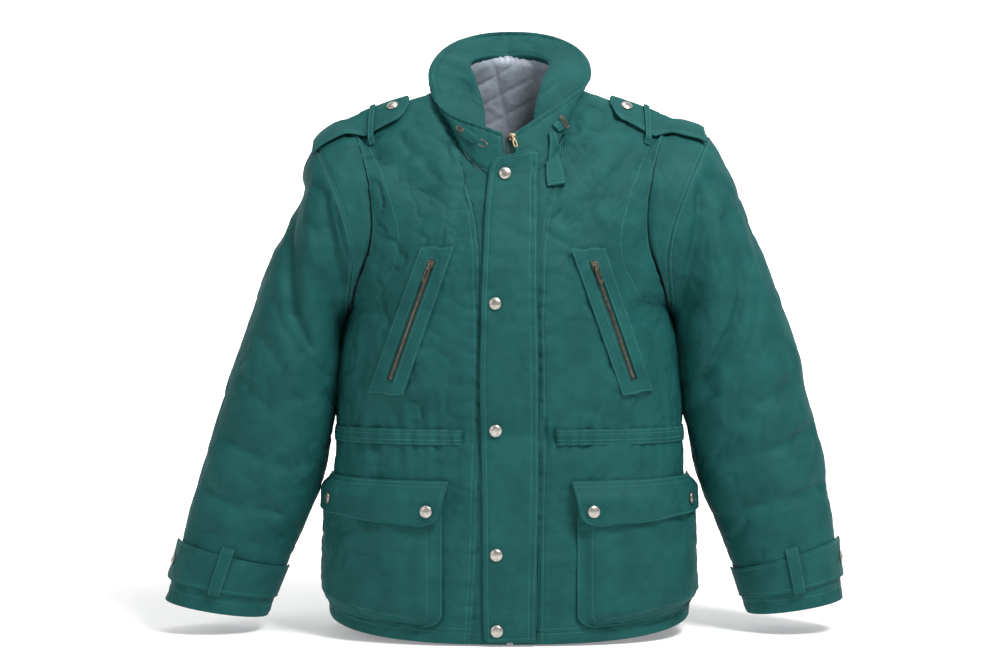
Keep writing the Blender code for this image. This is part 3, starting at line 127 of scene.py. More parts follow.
BACK_ROWS = (
    (140.0, -722, 243.0, 0, -700, 90, 2.5, 1.3),
    (139.5, -688, 242.5, 0, -667, 90, 2.5, 1.3),
    (139.0, -649, 241.5, 0, -632, 90, 2.5, 1.3),
    (138.0, -604, 240.0, 0, -593, 90, 2.5, 1.3),
    (136.5, -559, 238.5, 0, -552, 90, 2.5, 1.3),
    (134.5, -520, 237.0, 0, -516, 90, 2.5, 1.3),
    (132.0, -487, 235.5, 0, -485, 90, 2.5, 1.3),
    (130.0, -462, 234.0, 0, -461, 90, 2.5, 1.3),
    (131.5, -437, 233.0, 0, -436, 90, 2.5, 1.3),
    (134.5, -405, 231.0, 0, -403, 90, 2.5, 1.3),
    (137.5, -369, 228.5, 0, -366, 90, 2.45, 1.3),
    (139.5, -336, 224.5, 0, -331, 90, 2.45, 1.3),
    (140.5, -305, 216.0, 0, -300, 90, 2.4, 1.3),
    (140.5, -275, 205.0, 55, -285, 68, 2.4, 1.3),
    (139.5, -240, 191.0, 84, -240, 56, 2.4, 1.3),
    (137.5, -200, 185.0, 96, -198, 52, 2.4, 1.4),
    (134.5, -160, 184.0, 98, -155, 50, 2.4, 1.5),
    (130.0, -118, 191.0, 82, -105, 50, 2.35, 1.6),
    (124.5, -82, 204.0, 42, -61, 52, 2.3, 1.8),
    (118.0, -52, 212.0, -10, -42, 58, 2.3, 2.0),
    (111.0, -26, 180.0, -11, -27, 64, 2.3, 2.0),
    (102.0, -2, 145.0, -11, -15, 73, 2.3, 1.8),
    (91.0, 24, 110.0, -10, -5, 82, 2.3, 1.2),
    (79.0, 51, 74.0, -8, -1, 90, 2.3, 0.75),
)

# Seam between zip band and front panel. columns: row, left x, right x
BAND_SEAM = (
    (0, 50, 34), (3, 43, 35), (7, 39, 38), (12, 37, 35), (16, 40, 38),
    (19, 48, 47), (21, 57, 57), (23, 68, 68),
)

# Sleeve sections from armhole to cuff, for each side.
# columns: outer_x, outer_z, inner_x, inner_z, half_depth, mid_y
SLEEVE_ROWS = {
    LEFT: (
        (212, -42, 216, -300, 100, 0),
        (236, -49, 219, -306, 100, 0),
        (262, -72, 223, -316, 100, -1),
        (284, -120, 227.5, -333, 98, -2),
        (300, -165, 230.5, -350, 96, -3),
        (325, -229, 234, -385, 93, -4),
        (345, -290, 237, -425, 88, -6),
        (367, -351, 240.5, -467, 84, -7),
        (388, -416, 246.5, -507, 80, -8),
        (404, -470, 257, -541, 76, -10),
        (417, -514, 271, -575, 72, -11),
        (430, -560, 286, -609, 67, -12),
        (442, -608, 301, -642, 63, -13),
        (454, -650, 315, -676, 60, -14),
        (464, -686, 327, -709, 57, -15),
    ),
    RIGHT: (
        (212, -42, 216, -300, 100, 0),
        (240, -46, 219, -306, 100, 0),
        (269, -61, 223, -316, 100, -1),
        (294, -105, 227.5, -333, 98, -2),
        (313, -150, 230.5, -350, 96, -3),
        (343, -220, 234, -385, 93, -4),
        (366, -285, 237, -425, 88, -6),
        (388, -346, 241, -467, 84, -7),
        (403, -411, 248, -505, 80, -8),
        (417, -464, 260, -540, 76, -10),
        (427, -512, 275, -577, 72, -11),
        (433, -557, 290, -612, 67, -12),
        (439, -604, 302, -645, 63, -13),
        (444, -646, 312, -676, 60, -14),
        (449, -684, 321, -705, 57, -15),
    ),
}
CUFF_STATION = 14
ARMHOLE_FADE = 3.2     # stations over which the armhole's shape gives way to the sleeve's
HEAD_TOP, HEAD_UNDER = 1.95, 0.75   # stations where the second sleeve seam runs

# Collar rim, by turn round the neck: 0 centre front, 1 side, 2 centre back.
# columns: turn, x, y, z
COLLAR_RIM = {
    LEFT: (
        (0.0, 3, -100, -68), (0.15, 30, -92, -57), (0.28, 50, -82, -49),
        (0.42, 70, -68, -40), (0.58, 91, -50, -27), (0.78, 105, -20, -7),
        (1.0, 111, 15, 25), (1.2, 101, 50, 54), (1.42, 81, 75, 75),
        (1.65, 53, 88, 88), (1.83, 28, 97, 94), (2.0, 0, 100, 96),
    ),
    RIGHT: (
        (0.0, 3, -99, -67), (0.12, 15, -93, -59), (0.27, 42, -78, -39),
        (0.42, 69, -58, -20), (0.57, 87, -38, -6), (0.78, 105, -12, 9),
        (1.0, 112, 15, 25), (1.2, 108, 45, 49), (1.42, 93, 72, 70),
        (1.65, 66, 88, 86), (1.83, 34, 97, 94), (2.0, 0, 100, 96),
    ),
}
COLLAR_BOW = 3.0       # how far the collar stands out between seam and rim
# How far its foot is lifted off the panels, by turn round the neck
COLLAR_STAND = ((0.0, 0.0), (0.45, 0.3), (0.75, 2.8), (1.15, 2.8), (1.6, 0.4), (2.0, 0.0))
NECK_MIDDLE_Y = -15.0

# Soft folds of the wadded cloth, as troughs seen from the front (or back).
# columns: x0, z0, x1, z1, depth, half_width
FRONT_FOLDS = {
    LEFT: (
        (150, -250, 172, -300, 3.5, 20), (95, -420, 165, -432, 3.0, 15),
        (70, -300, 85, -380, 2.5, 18), (110, -150, 150, -190, 3.0, 18),
        (185, -330, 205, -400, 3.5, 20),
    ),
    RIGHT: (
        (75, -175, 118, -148, 3.5, 14), (70, -225, 100, -185, 3.0, 14),
        (150, -245, 176, -300, 3.5, 20), (95, -425, 175, -432, 3.0, 15),
        (185, -335, 206, -400, 3.5, 20), (60, -330, 66, -400, 2.5, 16),
    ),
}
BACK_FOLDS = {
    LEFT: (
        (60, -120, 120, -175, 3.5, 20), (150, -225, 178, -290, 3.5, 22),
        (100, -420, 180, -432, 3.0, 16), (40, -560, 60, -650, 2.5, 20),
    ),
    RIGHT: (
        (70, -110, 130, -160, 3.5, 20), (155, -235, 180, -300, 3.5, 22),
        (90, -425, 170, -433, 3.0, 16), (120, -540, 128, -640, 2.5, 20),
    ),
}
SLEEVE_FOLDS = {
    LEFT: (
        (281, -131, 292, -184, 8, 17), (292, -184, 291, -245, 9, 19),
        (291, -245, 283, -301, 9, 19), (283, -301, 264, -344, 8, 18),
        (249, -143, 242, -190, 6.5, 15), (242, -190, 227, -243, 8, 17),
        (227, -243, 215, -271, 6.5, 16), (244, -257, 222, -337, 6.5, 16),
        (268, -245, 249, -258, 4.5, 14), (264, -395, 243, -412, 4.5, 14),
        (370, -470, 300, -500, 5.5, 18), (395, -545, 320, -560, 4.5, 16),
    ),
    RIGHT: (
        (291, -175, 309, -233, 8, 17), (309, -233, 311, -270, 9, 18),
        (311, -270, 301, -310, 9, 18), (301, -310, 260, -390, 8, 18),
        (257, -136, 255, -184, 6.5, 15), (255, -184, 241, -245, 8, 17),
        (241, -245, 232, -281, 6.5, 16), (375, -400, 300, -430, 5.5, 18),
        (395, -470, 290, -500, 5.5, 18), (415, -535, 310, -560, 5.5, 16),
    ),
}


def spline(rows, at):
    """Read a table smoothly at fractional row numbers."""
    rows = np.asarray(rows, dtype=float)
    rows = np.vstack((2 * rows[0] - rows[1], rows, 2 * rows[-1] - rows[-2]))
    last = len(rows) - 3
    at = np.clip(np.asarray(at, dtype=float), 0, last)
    base = np.minimum(at.astype(int), last - 1)
    step = (at - base)[..., None]
    before, here, after, beyond = (rows[base + k] for k in range(4))
    return 0.5 * (2 * here + (after - before) * step
                  + (2 * before - 5 * here + 4 * after - beyond) * step ** 2
                  + (3 * here - before - 3 * after + beyond) * step ** 3)


def smooth(value):
    """Ease from 0 to 1."""
    value = np.clip(value, 0, 1)
    return value * value * (3 - 2 * value)


def unit(vectors):
    return vectors / np.maximum(np.linalg.norm(vectors, axis=-1, keepdims=True), 1e-9)


def lobe(angle, power):
    """Point of a unit superellipse, from its front (angle 0) to its side."""
    across, along = np.sin(angle), np.maximum(np.cos(angle), 0)
    reach = (across ** power + along ** power) ** (-1 / power)
    return across * reach, along * reach


def section(rows, row, share):
    """Point at a share (0 centre, 1 edge) of one body section."""
    values = np.moveaxis(spline(rows, row), -1, 0)
    mid_y, mid_z, edge_x, edge_y, edge_z, swing, power, rise = values
    swing = np.radians(swing)
    across, along = lobe(swing * share, power)
    edge_across, edge_along = lobe(swing, power)
    back_by = (1 - along) / (1 - edge_along)
    up_by = (1 - along ** rise) / (1 - edge_along ** rise)
    return np.stack((edge_x * across / edge_across,
                     mid_y + (edge_y - mid_y) * back_by,
                     mid_z + (edge_z - mid_z) * up_by), axis=-1)


def body_base(side, row, turn):
    """Outer cloth of the body before folds: turn 0 centre front, 1 edge, 2 centre back."""
    row, turn = np.broadcast_arrays(np.asarray(row, float), np.asarray(turn, float))
    turn = np.clip(turn, 0, 2)
    front = section(FRONT_ROWS, row, np.minimum(turn, 1))
    back = section(BACK_ROWS, row, np.minimum(2 - turn, 1))
    point = np.where((turn <= 1)[..., None], front, back)
    return point * np.array((side, 1, 1))


def body_facing(side, row, turn, row_step=0.15, turn_step=0.03):
    """Outward direction of the body cloth, shared by both panels where they are sewn."""
    row, turn = np.broadcast_arrays(np.asarray(row, float), np.asarray(turn, float))
    up = body_base(side, row + row_step, turn) - body_base(side, row - row_step, turn)
    joined = body_base(side, row, turn + turn_step) - body_base(side, row, turn - turn_step)
    low = np.where(turn <= 1, turn - turn_step, np.maximum(turn - turn_step, 1.0001))
    high = np.where(turn <= 1, np.minimum(turn + turn_step, 1), turn + turn_step)
    own = body_base(side, row, high) - body_base(side, row, low)
    inside_armhole = np.minimum(row - ARMPIT_ROW, SHOULDER_ROW - row)
    open_share = smooth(inside_armhole / 0.6)[..., None]
    across = unit(joined) * (1 - open_share) + unit(own) * open_share
    return unit(np.cross(across, up)) * side


def troughs(x, z, folds):
    """Depth of the folds at points of the x, z plane."""
    depth = np.zeros(np.shape(x))
    for x0, z0, x1, z1, deep, half in folds:
        run_x, run_z = x1 - x0, z1 - z0
        share = ((x - x0) * run_x + (z - z0) * run_z) / (run_x ** 2 + run_z ** 2)
        share = np.clip(share, 0, 1)
        away = np.hypot(x - x0 - share * run_x, z - z0 - share * run_z)
        depth = np.maximum(depth, deep * np.exp(-(away / half) ** 2))
    return depth


def over_body(side, row, turn, lift=0.0):
    """Unfolded body surface moved out by lift, for what lies on the cloth."""
    lift = np.asarray(lift, dtype=float)[..., None]
    return body_base(side, row, turn) + body_facing(side, row, turn) * lift


def body(side, row, turn, lift=0.0):
    """Body cloth with its folds, moved out by lift."""
    row, turn = np.broadcast_arrays(np.asarray(row, float), np.asarray(turn, float))
    point = body_base(side, row, turn)
    x, z = abs(point[..., 0]), point[..., 2]
    folds = np.where(turn <= 1, troughs(x, z, FRONT_FOLDS[side]), troughs(x, z, BACK_FOLDS[side]))
    folds = folds * smooth(abs(1 - turn) / 0.12)
    return point + body_facing(side, row, turn) * (lift - folds)[..., None]


def turn_for_x(row, x):
    """Turn at which a front section reaches a distance x from the centre."""
    values = spline(FRONT_ROWS, row)
    edge_x, swing, power = values[..., 2], np.radians(values[..., 5]), values[..., 6]
    share = np.clip(x / edge_x * lobe(swing, power)[0], 0, 0.9999) ** power
    return np.clip(np.arctan((share / (1 - share)) ** (1 / power)) / swing, 0, 1)


def spot(x, z):
    """Row and turn of the front cloth at a distance x from the centre and a height z."""
    x, z = np.broadcast_arrays(np.asarray(x, float), np.asarray(z, float))
    low, high = np.zeros(x.shape), np.full(x.shape, float(NECK_ROW))
    for _ in range(30):
        middle = (low + high) / 2
        below = body_base(RIGHT, middle, turn_for_x(middle, x))[..., 2] < z
        low, high = np.where(below, middle, low), np.where(below, high, middle)
    return low, turn_for_x(low, x)


def band_seam(side, row):
    rows = np.array(BAND_SEAM, dtype=float)
    return np.interp(row, rows[:, 0], rows[:, 1 if side == LEFT else 2])


known_lines = {}


def armhole_lines(side):
    """Front and back edge of the armhole as lines of points, worked out once."""
    if side not in known_lines:
        rows = np.linspace(ARMPIT_ROW, SHOULDER_ROW, 141)
        known_lines[side] = [body_base(side, rows, turn) for turn in (1.0, 1.0001)]
    return known_lines[side]


def armhole(side, angle):
    """Armhole edge: angle 0 at the top, a quarter turn at the front, half at the armpit."""
    angle = np.mod(angle, 2 * math.pi)
    top, bottom = FRONT_ROWS[SHOULDER_ROW][4], FRONT_ROWS[ARMPIT_ROW][4]
    height = (top + bottom) / 2 + (top - bottom) / 2 * np.cos(angle)
    edges = []
    for line in armhole_lines(side):
        spot_on = np.interp(height, line[:, 2], np.arange(len(line)))
        edges.append(spline(line, spot_on))
    return np.where((angle <= math.pi)[..., None], edges[0], edges[1])


def sleeve_oval(side, station, angle):
    outer_x, outer_z, inner_x, inner_z, depth, mid_y = np.moveaxis(
        spline(SLEEVE_ROWS[side], station), -1, 0)
    out, front = np.cos(angle), np.sin(angle)
    return np.stack((side * ((outer_x + inner_x) / 2 + (outer_x - inner_x) / 2 * out),
                     mid_y - depth * front,
                     (outer_z + inner_z) / 2 + (outer_z - inner_z) / 2 * out), axis=-1)


def sleeve_base(side, station, angle):
    """Outer cloth of a sleeve before folds: angle 0 outer side, a quarter turn at the front."""
    station, angle = np.broadcast_arrays(np.asarray(station, float), np.asarray(angle, float))
    keep = 1 - smooth(station / ARMHOLE_FADE)
    start = armhole(side, angle) - sleeve_oval(side, np.zeros(angle.shape), angle)
    return sleeve_oval(side, station, angle) + start * keep[..., None]


def sleeve_facing(side, station, angle, station_step=0.1, angle_step=0.05):
    down = (sleeve_base(side, np.asarray(station) + station_step, angle)
            - sleeve_base(side, np.asarray(station) - station_step, angle))
    around = (sleeve_base(side, station, np.asarray(angle) + angle_step)
              - sleeve_base(side, station, np.asarray(angle) - angle_step))
    return unit(np.cross(around, down)) * side


def sleeve(side, station, angle, lift=0.0):
    """Sleeve cloth with its folds, moved out by lift."""
    station, angle = np.broadcast_arrays(np.asarray(station, float), np.asarray(angle, float))
    point = sleeve_base(side, station, angle)
    folds = troughs(abs(point[..., 0]), point[..., 2], SLEEVE_FOLDS[side])
    folds = folds * smooth(station / 2 - 0.3) * smooth((12.4 - station) / 2)
    return point + sleeve_facing(side, station, angle) * (lift - folds)[..., None]


def collar_outward(side, turn):
    """Level direction away from the middle of the neck."""
    seam = body_base(side, np.full(np.shape(turn), float(NECK_ROW)), turn)
    return unit((seam - (0, NECK_MIDDLE_Y, 0)) * (1, 1, 0))


def collar_base(side, turn, height):
    """Outer cloth of the collar: height 0 at the neck seam, 1 at the rim."""
    turn, height = np.broadcast_arrays(np.asarray(turn, float), np.asarray(height, float))
    rows = np.array(COLLAR_RIM[side], dtype=float)
    rim = spline(rows[:, 1:], np.interp(turn, rows[:, 0], range(len(rows))))
    rim = rim * np.array((side, 1, 1))
    seam = body_base(side, np.full(turn.shape, NECK_ROW), turn)
    bow = COLLAR_BOW * 4 * height * (1 - height)
    stand = np.interp(turn, *np.array(COLLAR_STAND).T) * (1 - height)
    return (seam + (rim - seam) * height[..., None] + collar_outward(side, turn) * bow[..., None]
            + body_facing(side, NECK_ROW, turn) * stand[..., None])


def collar(side, turn, height, lift=0.0):
    turn, height = np.broadcast_arrays(np.asarray(turn, float), np.asarray(height, float))
    up = collar_base(side, turn, height + 0.04) - collar_base(side, turn, height - 0.04)
    around = (collar_base(side, np.minimum(turn + 0.02, 2), height)
              - collar_base(side, np.maximum(turn - 0.02, 0), height))
    facing = unit(np.cross(around, up)) * side
    return collar_base(side, turn, height) + facing * lift


def front_sheet(x, z, lift=0.0):
    """Front cloth at a signed x and a height z, running on over the collar."""
    x, z = np.broadcast_arrays(np.asarray(x, float), np.asarray(z, float))
    sheet = np.zeros(x.shape + (3,))
    for side in (LEFT, RIGHT):
        chosen = (x < 0) if side == LEFT else (x >= 0)
        if not chosen.any():
            continue
        away, height = abs(x[chosen]), z[chosen]
        row, turn = spot(away, height)
        on_body = over_body(side, row, turn, lift)
        neck_turn = turn_for_x(np.full(away.shape, NECK_ROW), away)
        share = np.zeros(away.shape)
        for _ in range(8):
            seam = collar_base(side, neck_turn, 0)
            rim = collar_base(side, neck_turn, 1)
            share = (height - seam[:, 2]) / (rim[:, 2] - seam[:, 2])
            reached = abs(seam[:, 0] + (rim[:, 0] - seam[:, 0]) * share)
            neck_turn = np.clip(neck_turn + (away - reached) / 190, 0, 1)
        on_collar = collar(side, neck_turn, share, lift)
        sheet[chosen] = np.where((share > 0)[:, None], on_collar, on_body)
    return sheet


def both_sides(surface, around, *others, **more):
    """Points of a surface that runs from the left edge (-1) over the back to the right (1)."""
    turn = 2 - abs(around)
    left, right = (surface(side, turn, *others, **more) for side in (LEFT, RIGHT))
    return np.where((around < 0)[..., None], left, right)


def back_point(side, turn, row, lift=0.0):
    return body(side, row, turn, lift)


def over_back(side, turn, row, lift=0.0):
    return over_body(side, row, turn, lift)


LINING_REACH = 0.625   # how far round from the centre back the neck lining shows
LINING_ROWS = (18, 22.92)   # its low and its top edge
LINING_GAP = 2.4

WAIST_ROWS = (6.55, 7.43)   # lower and upper edge of the casings
WAIST_ROW = 7.0
CASING_FOOT = LAY - 1.6     # underside of a casing, sunk into the panel
WAIST_START = 60.0     # distance from the centre where the front casings start


def head_end(angle):
    """Station of the second sleeve seam: far out at the top, close under the arm."""
    return HEAD_UNDER + (HEAD_TOP - HEAD_UNDER) * (1 + np.cos(angle)) / 2


COLLAR_END_X = 4.4     # where the collar's ends stop beside the zip
COLLAR_FOOT = 0.045    # height left free above the neck seam, outside
COLLAR_INNER_FOOT = 0.1
# How far the wadded inner side of the collar leans in at its foot, by turn round the neck
COLLAR_LEAN = {LEFT: ((0, 0), (0.25, 3), (0.55, 18), (1.1, 20), (1.5, 12), (2, 3)),
               RIGHT: ((0, 0), (0.35, 3), (0.7, 14), (1.1, 18), (1.5, 12), (2, 3))}


# Storm placket. columns: z, free edge x, sewn edge x
PLACKET_ROWS = (
    (-724, -27, 33), (-718, -34, 33), (-690, -34.5, 33), (-650, -35, 34), (-610, -35, 35),
    (-570, -35.5, 36), (-530, -36, 37), (-490, -36.5, 37), (-450, -37, 37), (-410, -38.5, 37),
    (-370, -38.5, 36.5), (-330, -37.5, 36), (-290, -37, 35), (-250, -35.5, 35),
    (-215, -34, 35), (-182, -33, 36), (-155, -31, 36), (-135, -29, 36), (-118, -27, 36),
    (-103, -22, 35), (-96, -12, 33),
)


# Bellows pockets and flaps, as rows up the body and turns round it
POCKET_INNER_X, POCKET_OUTER_TURN = 86.0, 0.945
POCKET_LOW_ROW, POCKET_TOP_ROW = 0.55, 4.3
FLAP_INNER_X, FLAP_OUTER_TURN = 78.0, 0.967
FLAP_TOP_ROW = (5.05, 5.05)       # at the inner and the outer end
FLAP_LOW_ROW = (3.62, 3.82)
CORNER_ROUND = 0.09               # share of the pocket's width that a corner takes
POCKET_CORNER, FLAP_CORNER = 0.12, 0.2   # share of its height that a corner takes


def rounded(across, along, depth):
    """Pull a patch's sides in where a corner rounds off towards its end at along = 0."""
    corner = np.clip(1 - along / depth, 0, 1)
    inset = CORNER_ROUND / 2 * (1 - np.sqrt(1 - corner ** 2)) * 2
    return inset + across * (1 - 2 * inset)


def flap_stand(along):
    """How far a flap stands off the front, from its low edge (0) to its seam (1)."""
    return (POCKET_DEPTH + POCKET_WALL + 1.8) * smooth((1 - along) / 0.5)


# Chest zips. columns: frame corners top inner, top outer, low outer, low inner as x, z
CHEST_FRAMES = {
    LEFT: ((70, -216), (115, -218), (185, -407), (137, -409)),
    RIGHT: ((77.5, -219), (123, -219), (186.5, -403), (145, -409)),
}
SLOT_START, SLOT_END = 0.09, 0.905    # shares of the frame's length
SLOT_HALF = 4.6


def chest_line(side, share, offset=0.0):
    """x and z on a chest zip's middle line, moved outward from it by offset."""
    corners = np.array(CHEST_FRAMES[side], dtype=float)
    top, low = (corners[0] + corners[1]) / 2, (corners[3] + corners[2]) / 2
    run = (low - top) / np.linalg.norm(low - top)
    point = top + (low - top) * np.asarray(share)[..., None]
    return point + np.array((-run[1], run[0])) * np.asarray(offset)[..., None]


def chest_length(side):
    """Length of a chest frame along its middle line."""
    corners = np.array(CHEST_FRAMES[side], dtype=float)
    return float(np.linalg.norm((corners[3] + corners[2] - corners[0] - corners[1]) / 2))


def chest_sheet(side, points, lift):
    return front_sheet(side * points[..., 0], points[..., 1], lift)


def local_frame(x, z, above_x, above_z, lift, step=2.0):
    """Origin and axes (across, up, out) on the front cloth, in millimetres."""
    direction = np.array((above_x - x, above_z - z))
    direction = direction / np.linalg.norm(direction) * step
    beside = np.array((direction[1], -direction[0]))
    spots_x = np.array((x, x + direction[0], x - direction[0], x + beside[0], x - beside[0]))
    spots_z = np.array((z, z + direction[1], z - direction[1], z + beside[1], z - beside[1]))
    points = front_sheet(spots_x, spots_z, lift)
    return frame_from(points[0], points[1] - points[2], points[3] - points[4])


def frame_from(origin, upward, sideways):
    """Square axes at a point: up along the cloth, across it, and out of it."""
    up = unit(upward)
    out = unit(np.cross(sideways, up))
    across = np.cross(up, out)
    return origin, np.column_stack((across, up, out))


SLIDER_HALF_WIDTH, SLIDER_HALF_LENGTH, SLIDER_HEIGHT = 4.3, 5.5, 2.4
CHEEK_INNER, CHEEK_OUTER, CHEEK_HALF_LENGTH, CHEEK_HEIGHT = 2.3, 3.4, 1.5, 2.8
PULL_AXIS = SLIDER_HEIGHT + 1.7       # height of the pull's hinge over the slider's foot
PULL_HALF_THICK = 0.6
# length, neck half width, blade half width
CHEST_PULL = (25.0, 1.4, 2.9)
MAIN_PULL = (17.0, 1.0, 2.7)


MAIN_SLIDER_Z = -73.0
MAIN_PULL_TILT = 21.0
CHAIN_LOW_Z, CHAIN_TOP_Z = -722.0, -71.0


SNAP_GAP = 0.9         # under a cap, over the faceted cloth
HOLLOW_GAP = 2.2       # more under a cap where the placket bends hollow


# columns: x, z, gap
PLACKET_SNAPS = (
    (-6, -121, HOLLOW_GAP), (-18.6, -291, SNAP_GAP), (-18.2, -453, HOLLOW_GAP),
    (-17.3, -612, SNAP_GAP), (-16.6, -709, SNAP_GAP),
)


# share across the flap, share up it
FLAP_SNAPS = {"inner": (0.09, 0.3), "outer": (0.68, 0.36)}


STRAP_STATIONS = (11.95, 13.2)        # upper and lower edge of a cuff strap
STRAP_FROM, STRAP_TO = 186.0, -13.0   # degrees round the sleeve, inner end and free tip
STRAP_POINT = 15.0                    # degrees that the pointed end takes
CUFF_LOOP_AT, CUFF_LOOP_HALF = 88.0, 6.5   # degrees
CUFF_SNAP_AT = 12.0
LOOP_ROOM = 2.6        # between a strap and the loop over it


def cuff_lift(angle):
    """A cuff strap lies close and stands away towards its free end."""
    return LAY + 4.0 * smooth((20 - angle) / 30)


# Epaulette outline, from its tip at the neck to its end on the sleeve.
# columns: x, front y, back y
EPAULETTE_ROWS = (
    (134, -24, -14), (141, -36, -2), (147, -40, 1), (163, -41, 1), (178, -41, 0),
    (187, -40.5, 0), (196, -40, 0), (207, -40, -1), (218, -42, -2), (230, -45, -3), (241, -47, -4),
    (251, -48, -5), (260, -49, -7),
)
EPAULETTE_SNAP = (156, -20)
EPAULETTE_LOOP = (178.5, 186.5)          # x of the loop's edges
EPAULETTE_LIFT = 3.6
LOOP_FRONT_Y, LOOP_BACK_Y = -51.0, 8.5
LOOP_FOOT, LOOP_CROWN = 1.0, EPAULETTE_LIFT + STRAP_WALL + LOOP_ROOM - 0.8
BODY_END_X, SLEEVE_START_X = 196.0, 218.0


def height_over(side, surface, first, second, x, y):
    """Where a surface of two parameters passes over points x, y, found by Newton steps."""
    first = np.broadcast_to(first, x.shape).astype(float).copy()
    second = np.broadcast_to(second, x.shape).astype(float).copy()
    step = 0.01
    for _ in range(14):
        here = surface(side, first, second)
        by_first = (surface(side, first + step, second) - here) / step
        by_second = (surface(side, first, second + step) - here) / step
        miss_x, miss_y = side * x - here[..., 0], y - here[..., 1]
        spread = by_first[..., 0] * by_second[..., 1] - by_first[..., 1] * by_second[..., 0]
        spread = np.where(abs(spread) < 1e-6, 1e-6, spread)
        first += np.clip((miss_x * by_second[..., 1] - miss_y * by_second[..., 0]) / spread, -1, 1)
        second += np.clip((by_first[..., 0] * miss_y - by_first[..., 1] * miss_x) / spread,
                          -0.2, 0.2)
    return surface(side, first, second)[..., 2]


SHOULDER_X, SHOULDER_Y, SHOULDER_STEP = (126.0, 272.0), (-62.0, 20.0), 3.0
known_tops = {}


def shoulder_top(side, x, y):
    """Height of the shoulder at a distance x from the centre, read from a fine table."""
    if side not in known_tops:
        across, behind = np.meshgrid(np.arange(*SHOULDER_X, SHOULDER_STEP),
                                     np.arange(*SHOULDER_Y, SHOULDER_STEP))
        known_tops[side] = exact_shoulder(side, across, behind)
    table = known_tops[side]
    at_x = (np.asarray(x, float) - SHOULDER_X[0]) / SHOULDER_STEP
    at_y = (np.asarray(y, float) - SHOULDER_Y[0]) / SHOULDER_STEP
    at_x, at_y = np.broadcast_arrays(at_x, at_y)
    base_x = np.clip(at_x.astype(int), 1, table.shape[1] - 3)
    base_y = np.clip(at_y.astype(int), 1, table.shape[0] - 3)
    shares = []
    for step in (at_x - base_x, at_y - base_y):
        shares.append((0.5 * (-step + 2 * step ** 2 - step ** 3),
                       0.5 * (2 - 5 * step ** 2 + 3 * step ** 3),
                       0.5 * (step + 4 * step ** 2 - 3 * step ** 3),
                       0.5 * (-step ** 2 + step ** 3)))
    total = np.zeros(at_x.shape)
    for row in range(4):
        for column in range(4):
            total += (table[base_y + row - 1, base_x + column - 1]
                      * shares[0][column] * shares[1][row])
    return total


def exact_shoulder(side, x, y):
    """Height of the shoulder over body and sleeve."""
    rows = np.interp(x, (76, 110, 145, 180, 212), (23, 22, 21, 20, 19))
    on_body = height_over(side, body_base, rows, 0.92, np.minimum(x, BODY_END_X), y)
    stations = np.interp(x, (212, 236, 262), (0, 1, 2))
    on_sleeve = height_over(side, sleeve_base, stations, 0.25, np.maximum(x, SLEEVE_START_X), y)
    share = np.clip((x - BODY_END_X) / (SLEEVE_START_X - BODY_END_X), 0, 1)
    return on_body + (on_sleeve - on_body) * share


def epaulette_point(side, x, y, lift):
    """Point over the shoulder; lift is measured square to the slope."""
    step = 1.5
    top = shoulder_top(side, x, y)
    slope_x = (shoulder_top(side, x + step, y) - shoulder_top(side, x - step, y)) / (2 * step)
    slope_y = (shoulder_top(side, x, y + step) - shoulder_top(side, x, y - step)) / (2 * step)
    out = unit(np.stack((-slope_x * side, -slope_y, np.ones(np.shape(x))), axis=-1))
    return np.stack((side * x, y, top), axis=-1) + out * np.asarray(lift)[..., None]


# Throat strap and its hardware on each side of the collar; x and z on the front cloth
STRAP_LEFT_START, STRAP_LEFT_END = (-64, -60), (-40.6, -77)
STRAP_RIGHT_START, STRAP_RIGHT_END = (65, -52), (57.5, -59)
TAB_START, TAB_END = (50, -66), (61, -137)
TAB_WIDTH, TAB_WALL = 25.0, 3.0
THROAT_WIDTH = 12.0


# ---- cloth as fine shells ----

EDGE_LINES = (0.0, 0.35, 0.9, 1.7, 2.8)   # grid lines at a piece's rolled edge
TABLE = np.linspace(0, 1, 121)
EDGE_SHARE = 0.9988    # where a panel stops just short of the side seam
GROOVE_DEPTH, GROOVE_HALF = 0.62, 0.85    # that a row of stitches draws in
PUCKER_PITCH, PUCKER_REACH = 12.5, 9.0    # along and beside a row of stitches
ROW_FADE = 0.012       # share over which a row of stitches begins and ends
EDGE_ROLL, EDGE_SINK = 2.2, 0.36          # rounding of a cut edge, and its share of the wall
WAIST_RADIUS = 165.0
CALM_EDGE = 11.0       # width along an edge in which the wadding's unrest fades
SMALLEST_SHEET = 0.01  # metres
STITCH_LENGTH, STITCH_GAP = 2.7, 1.0
NO_EDGE = 1e6          # distance from an edge that a tube doesn't have
made_sheets = []


def hashed(cells, seed):
    """Pseudo-random whole numbers for lattice corners."""
    x, y, z = (cells[..., k].astype(np.int64) for k in range(3))
    value = (x * 73856093) ^ (y * 19349663) ^ (z * 83492791) ^ (seed * 2654435761)
    value = (value ^ (value >> 13)) * 1274126177
    return (value ^ (value >> 16)) & 0xFFFF


def noise(points, size, seed=0):
    """Smooth gradient noise, about -1 to 1, with features of a given size in millimetres."""
    points = np.asarray(points, float) / size + 1000.0
    cells = np.floor(points).astype(np.int64)
    inside = points - cells
    ease = inside ** 3 * (inside * (inside * 6 - 15) + 10)
    total = np.zeros(points.shape[:-1])
    for corner in np.ndindex(2, 2, 2):
        number = hashed(cells + np.array(corner), seed)
        turn, tip = number * (2 * math.pi / 65536), ((number * 7919) & 0xFFFF) / 32768.0 - 1
        flat = np.sqrt(1 - tip * tip)
        lean = inside - np.array(corner)
        value = (np.cos(turn) * flat * lean[..., 0] + np.sin(turn) * flat * lean[..., 1]
                 + tip * lean[..., 2])
        weight = np.ones(total.shape)
        for axis in range(3):
            weight = weight * (ease[..., axis] if corner[axis] else 1 - ease[..., axis])
        total += value * weight
    return total * 1.5


